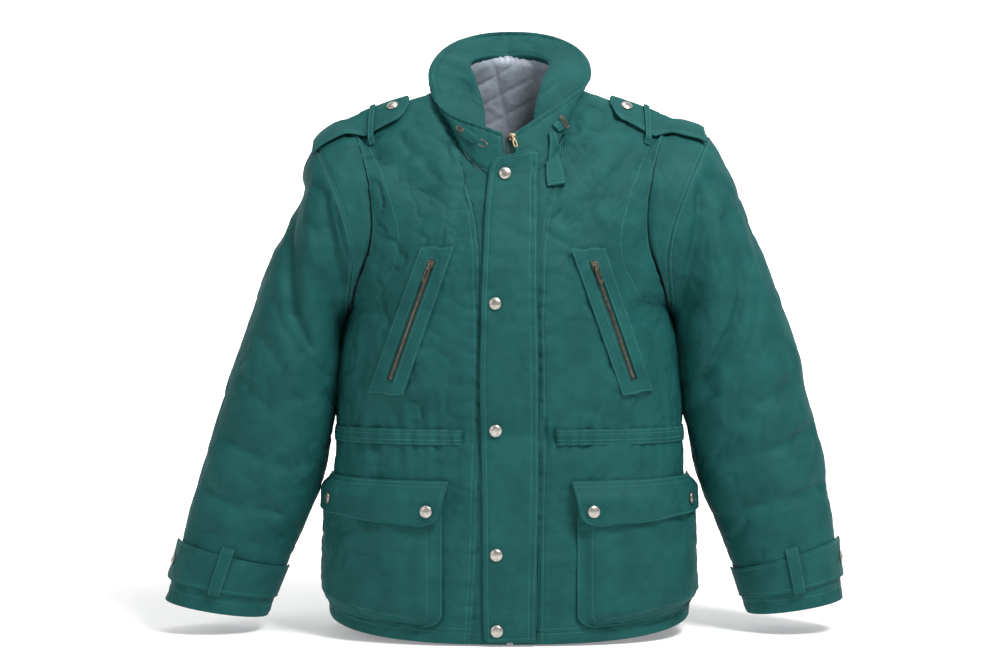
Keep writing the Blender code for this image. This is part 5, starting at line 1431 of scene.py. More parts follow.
def back_pieces():
    def panel(s, t, lift=0.0):
        return both_sides(back_point, -EDGE_SHARE + 2 * EDGE_SHARE * s, t * NECK_ROW,
                          lift=lift)

    def relief(s, t, base, away):
        side_gap = np.minimum(away["left"], away["right"])
        fade = smooth(side_gap / 14)
        seam = -1.5 * np.exp(-side_gap / 3.5) - 1.0 * np.exp(-away["top"] / 4.0)
        swell = 4.8 * under_arm(base) * np.exp(-(side_gap / 30.0) ** 2)
        return (creased(base, BACK_CREASES[LEFT], BACK_CREASES[RIGHT], fade) + gathers(base) + seam
                + swell)

    flange = (seam_row(2.4, 0.4, row_t(12.5), row_t(18.9)),
              seam_row(25.0, 0.25, row_t(12.9), row_t(18.9)))
    edges = {"left": flange, "right": flange, "low": (seam_row(14.0, 0.3), seam_row(20.0, 0.2)),
             "top": (seam_row(2.4, 0.3),)}
    cloth("back_cloth", panel, SHELL, 6.0, edges, 1.4, relief,
          seed=31)

    def lining(s, t, lift=0.0):
        around = -LINING_REACH + 2 * LINING_REACH * s
        share = np.clip(t / 0.8, 0, 1)
        row = LINING_ROWS[0] + (LINING_ROWS[-1] - LINING_ROWS[0]) * share
        low = both_sides(back_point, around, row, lift=-SHELL - LINING_GAP + lift)
        climb = smooth((t - 0.74) / 0.26)[..., None]
        turn = 2 - abs(around)
        high = [collar_inside(side, turn, 0.03 + 0.12 * np.clip((t - 0.7) / 0.3, 0, 1),
                              -COLLAR_WALL + 1.6 + lift, 0.96) for side in (LEFT, RIGHT)]
        high = np.where((around < 0)[..., None], *high)
        return low + (high - low) * climb

    def quilting(s, t, base, away):
        across = away["left"] - away["left"].max() / 2
        up = -away["top"]
        pitch = 58.0
        first, second = (across + up) / pitch, (across - up) / pitch
        lines = np.minimum(abs(first - np.round(first)), abs(second - np.round(second))) * pitch
        # the lining shows its underside, so the quilting sinks outward there
        return 0.9 * np.exp(-(lines / 2.2) ** 2) - 0.8 * smooth(lines / 15.0) * smooth(
            away["top"] / 10) + 0.5 * uneven(across, 9.0, 3.0) * np.exp(-(away["top"] / 14.0) ** 2)

    cloth("lining_back_cloth", lining, LINING_WALL, 3.4,
          {"top": (seam_row(3.0, 0.3),)}, 0.4, quilting, look="grey_lining",
          seed=37, inner_follow=1.0)


def waist_pieces():
    def profile(t):
        return 0.6 + 1.1 * (1 - (2 * t - 1) ** 2)

    def gathered(s, t, base, away):
        round_waist = np.arctan2(base[..., 0], -base[..., 1]) * WAIST_RADIUS
        waves = uneven(round_waist, 14.0, 0.7)
        between = np.clip(4 * t * (1 - t), 0, 1)
        fine = 0.5 * uneven(round_waist, 6.3, 1.9) * np.clip(between + 0.2, 0, 1)
        return (1.7 + 0.5 * between) * waves + fine

    drawn = (seam_row(2.2, 0.35), seam_row(7.0, 0.2))
    lines = {"low": drawn, "top": drawn}
    span = WAIST_ROWS[-1] - WAIST_ROWS[0]
    for side, word in SIDES:
        start = float(turn_for_x(np.array(WAIST_ROW), np.array(WAIST_START)))

        def casing(s, t):
            settled = -0.9 * (1 - smooth(s / 0.04))
            return over_body(side, WAIST_ROWS[0] + span * t, start + (EDGE_SHARE - start) * s,
                             profile(t) + settled)

        def under(s, t):
            return over_body(side, WAIST_ROWS[0] + span * t, start + (EDGE_SHARE - start) * s,
                             np.full(s.shape, CASING_FOOT))

        cloth(f"waist_front_{word}_cloth", casing, under, 3.2, lines, 0.2, gathered,
              inside="green_cloth", seed=41 + side, inner_follow=0.3)

    def casing_back(s, t, lift=None):
        around = EDGE_SHARE * (2 * s - 1)
        return both_sides(over_back, around, WAIST_ROWS[0] + span * t,
                          lift=profile(t) if lift is None else np.full(s.shape, lift))

    cloth("waist_back_cloth", casing_back, lambda s, t: casing_back(s, t, CASING_FOOT), 3.4,
          lines, 0.2, gathered, inside="green_cloth", seed=47, inner_follow=0.3)


def sleeve_pieces():
    for side, word in SIDES:
        def head(s, t, lift=0.0):
            angle = 2 * math.pi * s
            station = (head_end(angle) + 0.02) * t
            drop = -2.6 * (1 - smooth(t * 2.5)) + lift
            return sleeve(side, station, angle, drop)

        def head_relief(s, t, base, away):
            fade = smooth(away["top"] / 8)
            return (-1.2 * np.exp(-away["top"] / 3.5)
                    + 0.6 * creased(base, SLEEVE_CREASES[LEFT], SLEEVE_CREASES[RIGHT], fade))

        cloth(f"sleeve_head_{word}_cloth", head, SLEEVE_WALL, 5.0,
              {"top": (seam_row(2.2, 0.3),)}, 1.0, head_relief, ring=True,
              seed=51 + side)

        def arm(s, t, lift=0.0):
            angle = 2 * math.pi * s
            start = head_end(angle) - 0.03
            sunk = -1.3 * (1 - smooth(t / 0.012))
            return sleeve(side, start + (CUFF_STATION - start) * t, angle, lift + sunk)

        def arm_relief(s, t, base, away):
            fade = smooth((away["low"] - 3) / 9) * smooth((away["top"] - 18) / 16)
            turned = -1.1 * np.exp(-(abs(s - 0.62) * 330 / 3.0) ** 2)
            inner = 6.5 * under_arm(base) * np.exp(-((s - 0.5) / 0.14) ** 2)
            return (1.4 * creased(base, SLEEVE_CREASES[LEFT], SLEEVE_CREASES[RIGHT], fade) + inner
                    - 1.2 * np.exp(-away["low"] / 3.5) + turned * smooth(away["top"] / 20)
                    + 0.7 * np.exp(-((away["top"] - 8) / 7) ** 2))

        cloth(f"sleeve_{word}_cloth", arm, SLEEVE_WALL, 5.3,
              {"low": (seam_row(2.2, 0.45), seam_row(7.5, 0.3)), "top": (seam_row(17.0, 0.55),)},
              1.35, arm_relief, ring=True, seed=61 + side,
              inner_follow=0.95)


def collar_pieces():
    ends = float(turn_for_x(np.array(float(NECK_ROW)), np.array(COLLAR_END_X)))
    reach = 1 - ends / 2

    def wall_point(s, t, foot, lift, leaning, bulge=0.0):
        around = reach * (2 * s - 1)
        turn = 2 * (1 - abs(around))
        height = foot + (1 - foot) * t
        fuller = np.interp(turn, (0.0, 0.12, 0.4, 1.1, 1.5, 2.0), (0, 0.35, 1, 1, 0.45, 0.2))
        points = [collar_inside(side, turn, height, lift, leaning, bulge * fuller * more)
                  for side, more in ((LEFT, 8.0), (RIGHT, 13.0))]
        return np.where((around < 0)[..., None], *points)

    def outside(s, t):
        return wall_point(s, t, COLLAR_FOOT - 0.09, -1.6 * smooth((t - 0.93) / 0.07), 0)

    def within(s, t):
        rim = -COLLAR_WALL + 1.8 * smooth((t - 0.93) / 0.07)
        return wall_point(s, t, COLLAR_INNER_FOOT, rim, 1, 1.0)

    def relief(s, t, base, away):
        arc = away["left"]
        soft = 0.9 * uneven(arc, 38.0, 0.4) * np.sin(math.pi * np.clip(t, 0, 1)) ** 1.2
        foot = -1.3 * np.exp(-away["low"] / 4.0)
        waves = 0.45 * uneven(arc, 15.0, 2.2) * np.exp(-(away["top"] / 16.0) ** 2)
        seam = -1.5 * np.exp(-((away["top"] - 7.5) / 1.7) ** 2)
        roll = 0.9 * np.exp(-((away["top"] - 3.5) / 2.4) ** 2)
        return soft + foot + waves + seam + roll + 0.8 * np.exp(-((away["low"] - 12) / 8) ** 2)

    edges = {"low": (seam_row(6.6, 0.4),), "top": (seam_row(7.5, 0.6),),
             "left": (seam_row(5.0, 0.2),), "right": (seam_row(5.0, 0.2),)}
    cloth("collar_cloth", outside, within, 3.6, edges, 0.9, relief, inside="green_cloth",
          seed=71, roll=2.6, inner_follow=-0.9)


def placket_piece():
    rows = np.array(PLACKET_ROWS, dtype=float)

    def sheet(s, t, lift=0.0):
        z = rows[0, 0] + (rows[-1, 0] - rows[0, 0]) * t
        free, sewn = np.interp(z, rows[:, 0], rows[:, 1]), np.interp(z, rows[:, 0], rows[:, 2])
        near_top = smooth((z - rows[-1, 0] + 60) / 60)
        rise = near_top * (-1.0 + 10.5 * smooth((s - 0.1) / 0.9))
        return front_sheet(free + (sewn - free) * s, z + rise, lift + LAY + PLACKET_WALL)

    def relief(s, t, base, away):
        z = base[..., 2]
        along = uneven(z, 46.0, 0.9) * 0.35 + uneven(z, 21.0, 2.4) * 0.22
        bands = np.exp(-((z + 150) / 26) ** 2) + np.exp(-((z - WAIST_Z) / 24) ** 2)
        ripple = 0.55 * uneven(z, 13.0, 1.4) * bands
        dimple = np.zeros(z.shape)
        for x, at, _ in PLACKET_SNAPS:
            gap = np.hypot(base[..., 0] - x, z - at)
            dimple = dimple - 0.8 * np.exp(-(gap / 11.0) ** 2)
        pad = 0.7 * np.exp(-((away["left"] - 13) / 7) ** 2)
        edge = 0.4 * np.exp(-((away["left"] - 3) / 2.2) ** 2)
        seam = puckers(base, away["right"], 1.3, 23.0, 13.0, 35)
        return (along + ripple) * np.sin(math.pi * s) + dimple + pad + edge + seam

    edges = {"left": (seam_row(6.8, 0.3),),
             "right": (seam_row(2.5, 0.35), seam_row(9.5, 0.25)),
             "low": (seam_row(6.0, 0.1),), "top": (seam_row(6.0, 0.2),)}
    cloth("placket_cloth", sheet, PLACKET_WALL, 3.6, edges, 0.8,
          relief, inside="green_cloth", seed=81,
          inner_follow=0.2)


def pocket_pieces():
    for side, word in SIDES:
        def bellows(s, t, lift=0.0):
            row = POCKET_LOW_ROW + (POCKET_TOP_ROW - POCKET_LOW_ROW) * t
            first = turn_for_x(row, np.full(row.shape, POCKET_INNER_X))
            turn = first + (POCKET_OUTER_TURN - first) * rounded(s, t, POCKET_CORNER)
            edge = np.minimum(s, 1 - s)
            stand = LAY + 0.4 + POCKET_DEPTH * smooth(edge / 0.1) * smooth(t / 0.14)
            return over_body(side, row, turn, stand + POCKET_WALL + lift)

        def pocket_relief(s, t, base, away):
            rim = np.minimum(np.minimum(away["left"], away["right"]), away["low"])
            fold = (1.3 * np.exp(-((rim - 17.5) / 2.6) ** 2)
                    - 1.1 * np.exp(-((rim - 7.5) / 3.5) ** 2))
            x, z = base[..., 0], base[..., 2]
            sag = 1.0 * np.exp(-((t - 0.32) / 0.25) ** 2) * np.sin(math.pi * s)
            waves = (0.9 * uneven(x + 0.6 * z, 52.0, 0.8) + 0.6 * uneven(z - 0.3 * x, 34.0, 2.0))
            return fold + sag + waves * smooth((rim - 14) / 16)

        edges = {"left": (seam_row(2.0, 0.2), seam_row(20.0, 0.25, 0.05, 1.0)),
                 "right": (seam_row(2.0, 0.2), seam_row(20.0, 0.25, 0.05, 1.0)),
                 "low": (seam_row(2.0, 0.2), seam_row(20.0, 0.25, 0.1, 0.9))}
        cloth(f"pocket_{word}_cloth", bellows, POCKET_WALL, 4.4,
              edges, 1.3, pocket_relief, inside="green_cloth",
              seed=91 + side, inner_follow=0.6)

        def flap(s, t, lift=0.0):
            low = FLAP_LOW_ROW[0] + (FLAP_LOW_ROW[1] - FLAP_LOW_ROW[0]) * s
            row = low + (FLAP_TOP_ROW[0] - low) * t
            first = turn_for_x(row, np.full(row.shape, FLAP_INNER_X)) + 0.03 * (1 - t)
            turn = first + (FLAP_OUTER_TURN - first) * rounded(s, t, FLAP_CORNER)
            return over_body(side, row, turn, LAY + flap_stand(t) + FLAP_WALL + lift)

        def flap_relief(s, t, base, away):
            x = base[..., 0]
            ripple = 0.35 * uneven(x, 27.0, 0.6) * np.sin(math.pi * np.clip(t, 0, 1))
            dips = sum(-0.7 * np.exp(-(((s - across) / 0.07) ** 2 + ((t - along) / 0.17) ** 2))
                       for across, along in FLAP_SNAPS.values())
            rim = np.minimum(np.minimum(away["left"], away["right"]), away["low"])
            return ripple + dips + 0.45 * np.exp(-((rim - 2.4) / 1.8) ** 2)

        edges = {"left": (seam_row(4.6, 0.2),), "right": (seam_row(4.6, 0.2),),
                 "low": (seam_row(4.6, 0.25),), "top": (seam_row(2.2, 0.3), seam_row(8.0, 0.2))}
        cloth(f"flap_{word}_cloth", flap, FLAP_WALL, 3.6, edges, 0.7,
              flap_relief, inside="green_cloth", seed=95 + side,
              inner_follow=0.3)


def strap_pieces():
    low, high = STRAP_STATIONS
    for side, word in SIDES:
        def strap(s, t, lift=0.0):
            angle = STRAP_FROM + (STRAP_TO - STRAP_FROM) * s
            pointed = 1 - 0.62 * np.clip((STRAP_TO + STRAP_POINT - angle) / STRAP_POINT, 0, 1)
            station = (low + high) / 2 + (high - low) * (t - 0.5) * pointed
            return sleeve(side, station, np.radians(angle), cuff_lift(angle) + STRAP_WALL + lift)

        edges = {"low": (seam_row(4.4, 0.15),), "top": (seam_row(4.4, 0.15),),
                 "right": (seam_row(4.4, 0.1, 0.1, 0.9),)}

        def strap_relief(s, t, base, away):
            rim = np.minimum(np.minimum(away["low"], away["top"]), away["right"])
            return 0.4 * np.exp(-((rim - 2.2) / 1.7) ** 2) + 0.3 * uneven(away["left"], 33.0, 0.5)

        cloth(f"cuff_strap_{word}_cloth", strap, STRAP_WALL, 3.6,
              edges, 0.25, strap_relief, inside="green_cloth",
              seed=101 + side, inner_follow=0.2)

        def loop(s, t, lift=0.0):
            angle = CUFF_LOOP_AT + CUFF_LOOP_HALF * (2 * s - 1)
            station = low - 0.28 + (high - low + 0.42) * t
            rise = LAY + (STRAP_WALL + LOOP_ROOM) * smooth(np.minimum(t, 1 - t) / 0.1)
            return sleeve(side, station, np.radians(angle), rise + LOOP_WALL + lift)

        cloth(f"cuff_loop_{word}_cloth", loop, LOOP_WALL, 1.6,
              {"left": (seam_row(1.8, 0.0),), "right": (seam_row(1.8, 0.0),)}, 0.1,
              inside="green_cloth", seed=103 + side, roll=0.7)

        rows = np.array(EPAULETTE_ROWS, dtype=float)
        along = rows[:, 0]

        def shoulder_strap(s, t, lift=0.0):
            x = along[0] + (along[-1] - along[0]) * t
            front, behind = np.interp(x, along, rows[:, 1]), np.interp(x, along, rows[:, 2])
            return epaulette_point(side, x, front + (behind - front) * s,
                                   np.full(s.shape, EPAULETTE_LIFT + STRAP_WALL + lift))

        edges = {"left": (seam_row(2.4, 0.15), seam_row(7.6, 0.1, 0.06, 1.0)),
                 "right": (seam_row(2.4, 0.15), seam_row(7.6, 0.1, 0.06, 1.0)),
                 "low": (seam_row(3.0, 0.0, 0.1, 0.9),), "top": (seam_row(2.4, 0.1),)}
        cloth(f"epaulette_{word}_cloth", shoulder_strap,
              STRAP_WALL, 2.6, edges, 0.3,
              inside="green_cloth", seed=105 + side)

        def shoulder_loop(s, t, lift=0.0):
            x = EPAULETTE_LOOP[0] + (EPAULETTE_LOOP[1] - EPAULETTE_LOOP[0]) * s
            y = LOOP_FRONT_Y + (LOOP_BACK_Y - LOOP_FRONT_Y) * t
            rise = smooth(np.minimum(t, 1 - t) / 0.1)
            return epaulette_point(side, x, y, LOOP_FOOT + (LOOP_CROWN - LOOP_FOOT) * rise
                                   + LOOP_WALL + lift)

        cloth(f"epaulette_loop_{word}_cloth", shoulder_loop,
              LOOP_WALL, 1.8,
              {"left": (seam_row(1.8, 0.0),), "right": (seam_row(1.8, 0.0),)}, 0.1,
              inside="green_cloth", seed=107 + side, roll=0.7)


def throat_pieces():
    ribbons = (
        ("throat_strap_left", STRAP_LEFT_START, STRAP_LEFT_END, THROAT_WIDTH, LAY, STRAP_WALL),
        ("throat_strap_right", STRAP_RIGHT_START, STRAP_RIGHT_END, THROAT_WIDTH, LAY + 0.8,
         STRAP_WALL),
        ("throat_tab", TAB_START, TAB_END, TAB_WIDTH, LAY + 0.4, TAB_WALL),
    )
    for index, (name, start, end, width, lift, thick) in enumerate(ribbons):
        start, end = np.array(start, dtype=float), np.array(end, dtype=float)
        run = (end - start) / np.linalg.norm(end - start)

        def ribbon(s, t, more=0.0):
            across = width * (s - 0.5)
            if width > 20:
                across = across * (0.36 + 0.64 * smooth(t * 1.15)) + 3.0 * (1 - smooth(t))
            x = start[0] + (end[0] - start[0]) * t - run[1] * across
            z = start[1] + (end[1] - start[1]) * t + run[0] * across
            return front_sheet(x, z, lift + thick + more)

        offset = 2.0 if width < 20 else 3.0
        edges = {"left": (seam_row(offset, 0.05),), "right": (seam_row(offset, 0.05),),
                 "top": (seam_row(offset, 0.0, 0.1, 0.9),)}
        cloth(f"{name}_cloth", ribbon, thick, 1.7, edges, 0.15,
              inside="green_cloth", seed=111 + index, roll=1.1)


RIM_SEAM, SLOT_SEAM = 2.2, 2.4        # stitches inside a chest frame's rim and round its slot


def chest_frames():
    for side, word in SIDES:
        corners = np.array(CHEST_FRAMES[side], dtype=float)
        length = chest_length(side)
        wide = float(abs(corners[1][0] - corners[0][0]))
        lines = [0, 0.35, 0.9, 1.7, 2.2, 2.8, 3.9, 5.0, 6.1]
        half = wide / 2
        flank = half - SLOT_HALF
        near_slot = [flank - k for k in (4.6, 3.4, 2.4, 1.6, 0.9, 0.35, 0.0)]
        inner = np.array([k for k in lines if k < near_slot[0] - 0.4] + near_slot) / flank
        columns = np.concatenate((inner, 1 + np.linspace(0, 1, 5)[1:-1], 3 - inner[::-1]))
        ends = [0, 0.35, 0.9, 1.7, 2.2, 2.8, 3.9, 5.0, 7.0]
        slot_low, slot_high = SLOT_START * length, SLOT_END * length
        upper = ends + [slot_low - k for k in (4.0, 2.6, 1.6, 0.9, 0.35, 0.0)]
        middle = list(np.linspace(slot_low, slot_high, 60)[1:-1])
        lower = [slot_high + k for k in (0, 0.35, 0.9, 1.6, 2.6, 4.0)]
        lower += [length - k for k in ends[::-1]]
        rows = np.array(upper + middle + lower) / length
        rows = np.unique(np.round(np.clip(rows, 0, 1), 5))
        c, share = np.meshgrid(columns, rows)
        inner_edge = corners[0] + (corners[3] - corners[0]) * share[..., None]
        outer_edge = corners[1] + (corners[2] - corners[1]) * share[..., None]
        near = chest_line(side, share, np.full(share.shape, -SLOT_HALF))
        far = chest_line(side, share, np.full(share.shape, SLOT_HALF))
        marks = np.stack((inner_edge, near, far, outer_edge))
        step = np.clip(c.astype(int), 0, 2)
        rest = (c - step)[..., None]
        spots = (np.take_along_axis(marks, step[None, ..., None], 0)[0] * (1 - rest)
                 + np.take_along_axis(marks, step[None, ..., None] + 1, 0)[0] * rest)
        gap_across = np.minimum(c, 3 - c) * flank
        gap_along = np.minimum(share, 1 - share) * length
        rim = np.minimum(gap_across, gap_along)
        slot_gap = np.maximum(flank * (1 - np.minimum(c, 3 - c)),
                              np.maximum(SLOT_START - share, share - SLOT_END) * length)
        slot_gap = np.maximum(slot_gap, 0)
        in_slot = ((c > 0.999) & (c < 2.001)
                   & (share > SLOT_START - 1e-4) & (share < SLOT_END + 1e-4))
        raised = (-0.55 * np.exp(-((rim - RIM_SEAM) / 0.8) ** 2)
                  - 0.5 * np.exp(-((slot_gap - SLOT_SEAM) / 0.8) ** 2)
                  + 0.3 * uneven(share * length, 13.0, 0.6 + side) * np.exp(-((rim - 6) / 5) ** 2))
        raised = raised + 0.6 * np.exp(-(slot_gap / 1.6) ** 2)
        sink = np.maximum(np.clip(1 - rim / 0.9, 0, 1),
                          np.where(in_slot, 0, np.clip(1 - slot_gap / 0.9, 0, 1)))
        sink = (1 - np.sqrt(np.clip(1 - sink ** 2, 0, 1))) * 0.4 * FRAME_WALL
        top = chest_sheet(side, spots, LAY + FRAME_WALL)
        base = chest_sheet(side, spots, LAY)
        way = unit(top - base)
        shown = top + way * (raised - sink)[..., None]
        under = base + way * sink[..., None] * 0.5
        kept = np.ones((len(rows) - 1, len(columns) - 1), dtype=bool)
        mid_c, mid_r = (columns[1:] + columns[:-1]) / 2, (rows[1:] + rows[:-1]) / 2
        kept &= ~(((mid_c > 1) & (mid_c < 2))[None, :]
                  & ((mid_r > SLOT_START) & (mid_r < SLOT_END))[:, None])
        uv = np.stack((running(top, 1), running(top, 0)), axis=-1)
        thing = shell(f"chest_frame_{word}_cloth", shown, under,
                      (LOOKS["green_cloth"], LOOKS["green_cloth"]), kept=kept, uv=uv)
        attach(thing, COAT)
        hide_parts(f"chest_frame_{word}")
        seams = []
        rim_column = int(np.argmin(abs(inner * flank - RIM_SEAM)))
        for column in (rim_column, len(columns) - 1 - rim_column):
            seams.append((shown[:, column], way[:, column]))
        row_mark = int(np.argmin(abs(rows * length - RIM_SEAM)))
        for row in (row_mark, len(rows) - 1 - row_mark):
            seams.append((shown[row], way[row]))
        slot_column = int(np.argmin(abs(inner * flank - (flank - SLOT_SEAM))))
        inside_rows = (rows > SLOT_START - 0.012) & (rows < SLOT_END + 0.012)
        for column in (slot_column, len(columns) - 1 - slot_column):
            seams.append((shown[inside_rows, column], way[inside_rows, column]))
        thread = stitches(f"chest_frame_{word}_stitches", seams)
        area = float((cell_areas(shown) * kept).sum()) * MM ** 2
        flat = flat_size(shown)
        made_sheets.append((thing.name, flat, round(area, 4)))


# ---- metal ----

def solid(parts, name, look, body_name, node_name, angle=35):
    """One object from several closed meshes given as (points, faces) in millimetres."""
    points, faces, count = [], [], 0
    for spots, sides in parts:
        points.append(np.asarray(spots, dtype=float))
        faces += [tuple(int(index) + count for index in face) for face in sides]
        count += len(spots)
    thing = mesh_object(name, np.concatenate(points), faces, (LOOKS[look],), angle=angle)
    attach(thing, body_name)
    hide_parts(node_name)


def bevelled(points, faces, width, segments=2):
    """Closed mesh with all its sharp edges rounded."""
    shape = bmesh.new()
    corners = [shape.verts.new(point) for point in points]
    for face in faces:
        shape.faces.new([corners[index] for index in face])
    shape.normal_update()
    sharp = [edge for edge in shape.edges if len(edge.link_faces) == 2
             and edge.calc_face_angle(0.0) > math.radians(30)]
    bmesh.ops.bevel(shape, geom=sharp, offset=width, segments=segments, affect="EDGES",
                    profile=0.6, clamp_overlap=True)
    bmesh.ops.recalc_face_normals(shape, faces=shape.faces)
    shape.verts.index_update()
    made = [tuple(vertex.co) for vertex in shape.verts]
    sides = [[vertex.index for vertex in face.verts] for face in shape.faces]
    shape.free()
    return np.array(made), sides


def bar_block(x0, x1, y0, y1, z0, z1, width=0.2, segments=2):
    points = [(x, y, z) for z in (z0, z1) for x, y in ((x0, y0), (x1, y0), (x1, y1), (x0, y1))]
    faces = [(3, 2, 1, 0), (4, 5, 6, 7), (0, 1, 5, 4), (1, 2, 6, 5), (2, 3, 7, 6), (3, 0, 4, 7)]
    return bevelled(points, faces, width, segments)


def plate(outline, low, high, width=0.2, segments=2):
    """Bevelled plate over a flat outline given anticlockwise."""
    count = len(outline)
    points = [(x, y, low) for x, y in outline] + [(x, y, high) for x, y in outline]
    faces = [tuple(range(count - 1, -1, -1)), tuple(range(count, 2 * count))]
    for index in range(count):
        after = (index + 1) % count
        faces.append((index, after, count + after, count + index))
    return bevelled(points, faces, width, segments)


def holed_plate(outside, inside, low, high, width=0.16):
    """Bevelled plate with one hole; both outlines have the same number of points."""
    count = len(outside)
    points = [(x, y, z) for z in (low, high) for line in (outside, inside) for x, y in line]
    faces = []
    for index in range(count):
        after = (index + 1) % count
        a, b, c, d = index, after, count + after, count + index
        faces += [(d, c, b, a), (2 * count + a, 2 * count + b, 2 * count + c, 2 * count + d),
                  (a, b, 2 * count + b, 2 * count + a), (c, d, 2 * count + d, 2 * count + c)]
    return bevelled(points, faces, width, 2)


def rod(start, end, radius, sides=16, caps=0.25):
    """Round bar with softened ends."""
    start, end = np.array(start, dtype=float), np.array(end, dtype=float)
    run = unit(end - start)
    first = unit(np.cross(run, (0.3, 0.5, 0.8)))
    second = np.cross(run, first)
    points = []
    for centre, size in ((start, radius - caps), (start + run * caps, radius),
                         (end - run * caps, radius), (end, radius - caps)):
        for step in range(sides):
            angle = 2 * math.pi * step / sides
            points.append(centre + (first * math.cos(angle) + second * math.sin(angle)) * size)
    faces = [tuple(range(sides - 1, -1, -1)), tuple(range(3 * sides, 4 * sides))]
    for ring in range(3):
        for step in range(sides):
            after = (step + 1) % sides
            faces.append((ring * sides + step, ring * sides + after,
                          (ring + 1) * sides + after, (ring + 1) * sides + step))
    return np.array(points), faces


def moved(part, where, offset=(0, 0, 0), tilt=0.0):
    """Mesh turned by tilt about the outward axis, then set on a local frame."""
    origin, axes = where
    turn = math.radians(tilt)
    spin = np.array(((math.cos(turn), -math.sin(turn), 0),
                     (math.sin(turn), math.cos(turn), 0), (0, 0, 1)))
    points = np.asarray(part[0]) @ spin.T + np.array(offset, dtype=float)
    return points @ axes.T + origin, part[1]


def lathe(profile, sides=48):
    """Turned solid; the profile runs from the axis at the foot to the axis at the top."""
    points, faces = [(0, 0, profile[0][1])], []
    for radius, height in profile[1:-1]:
        for step in range(sides):
            angle = 2 * math.pi * step / sides
            points.append((radius * math.cos(angle), radius * math.sin(angle), height))
    points.append((0, 0, profile[-1][1]))
    rings = len(profile) - 2
    top = len(points) - 1
    for step in range(sides):
        after = (step + 1) % sides
        faces.append((0, 1 + after, 1 + step))
        for ring in range(rings - 1):
            low, high = 1 + ring * sides, 1 + (ring + 1) * sides
            faces.append((low + step, low + after, high + after, high + step))
        last = 1 + (rings - 1) * sides
        faces.append((last + step, last + after, top))
    return np.array(points), faces


def snap(name, where, gap):
    profile = ((0, -gap), (6.3, -gap), (6.5, -gap * 0.5), (6.6, -0.05), (7.55, 0.0), (7.86, 0.22),
               (7.9, 0.62), (7.72, 0.98), (7.35, 1.2), (6.95, 1.22), (6.7, 1.14), (6.45, 1.3),
               (5.9, 1.62), (5.0, 1.98), (3.9, 2.28), (2.6, 2.48), (1.3, 2.58), (0, 2.6))
    solid([moved(lathe(profile), where)], f"{name}_cap", "nickel", COAT, name, angle=50)


def snaps():
    for index, (x, z, gap) in enumerate(PLACKET_SNAPS, start=1):
        where = local_frame(x, z, x, z + 4, LAY + PLACKET_WALL + gap, step=SNAP_RADIUS)
        snap(f"snap_placket_{index}", where, gap + 0.8)
    step = 0.02
    for side, word in SIDES:
        for end, (across, along) in FLAP_SNAPS.items():
            low = FLAP_LOW_ROW[0] + (FLAP_LOW_ROW[1] - FLAP_LOW_ROW[0]) * across
            row = low + (FLAP_TOP_ROW[0] - low) * along
            first = float(turn_for_x(np.array(row), np.array(FLAP_INNER_X)))
            turn = first + (FLAP_OUTER_TURN - first) * across
            lift = LAY + flap_stand(along) + FLAP_WALL + SNAP_GAP
            here = over_body(side, row, turn, lift)
            upward = over_body(side, row + step, turn, lift) - here
            sideways = (over_body(side, row, turn + step, lift) - here) * side
            snap(f"snap_flap_{word}_{end}", frame_from(here, upward, sideways), SNAP_GAP + 1.0)
        low, high = STRAP_STATIONS
        middle, around = (low + high) / 2, math.radians(CUFF_SNAP_AT)
        lift = float(cuff_lift(np.array(CUFF_SNAP_AT))) + STRAP_WALL + SNAP_GAP
        here = sleeve(side, middle, around, lift)
        upward = here - sleeve(side, middle + 0.05, around, lift)
        sideways = (here - sleeve(side, middle, around + 0.05, lift)) * side
        snap(f"snap_cuff_{word}", frame_from(here, upward, sideways), SNAP_GAP + 0.6)
        snap_x, snap_y = (np.array(float(value)) for value in EPAULETTE_SNAP)
        lift = EPAULETTE_LIFT + STRAP_WALL + SNAP_GAP / 2
        here = epaulette_point(side, snap_x, snap_y, lift)
        inward = epaulette_point(side, snap_x - 4, snap_y, lift) - here
        back = epaulette_point(side, snap_x, snap_y + 4, lift) - here
        sideways = back if side == LEFT else -back
        snap(f"snap_epaulette_{word}", frame_from(here, inward, -sideways), SNAP_GAP / 2 + 0.6)


def slider_parts():
    """Slider of a metal zip: two plates, side flanges and the bridge's cheeks."""
    half, long = SLIDER_HALF_WIDTH, SLIDER_HALF_LENGTH
    outline = [(-half * 0.72, -long), (half * 0.72, -long), (half * 0.93, -long * 0.55),
               (half, long * 0.15), (half * 0.96, long * 0.7), (half * 0.62, long),
               (half * 0.2, long * 0.86), (-half * 0.2, long * 0.86), (-half * 0.62, long),
               (-half * 0.96, long * 0.7), (-half, long * 0.15), (-half * 0.93, -long * 0.55)]
    parts = [plate(outline, 0.0, 0.75, 0.22), plate(outline, 1.55, SLIDER_HEIGHT, 0.28, 3)]
    for sign in (-1, 1):
        parts.append(bar_block(*sorted((sign * half * 0.97, sign * (half - 0.75))), -long * 0.55,
                               long * 0.45, 0.4, 1.9, 0.15))
        rise = [(CHEEK_HALF_LENGTH, 0.0), (CHEEK_HALF_LENGTH, CHEEK_HEIGHT - 0.9)]
        rise += [(CHEEK_HALF_LENGTH * math.cos(k * math.pi / 8), CHEEK_HEIGHT - 0.9
                  + 0.85 * math.sin(k * math.pi / 8)) for k in range(1, 8)]
        rise += [(-CHEEK_HALF_LENGTH, CHEEK_HEIGHT - 0.9), (-CHEEK_HALF_LENGTH, 0.0)]
        flat, sides = plate(rise, 0.0, CHEEK_OUTER - CHEEK_INNER, 0.14)
        x = flat[:, 2] + CHEEK_INNER
        parts.append((np.stack((sign * x, flat[:, 0], flat[:, 1] + SLIDER_HEIGHT - 0.15), axis=-1),
                      sides if sign > 0 else [face[::-1] for face in sides]))
    return parts


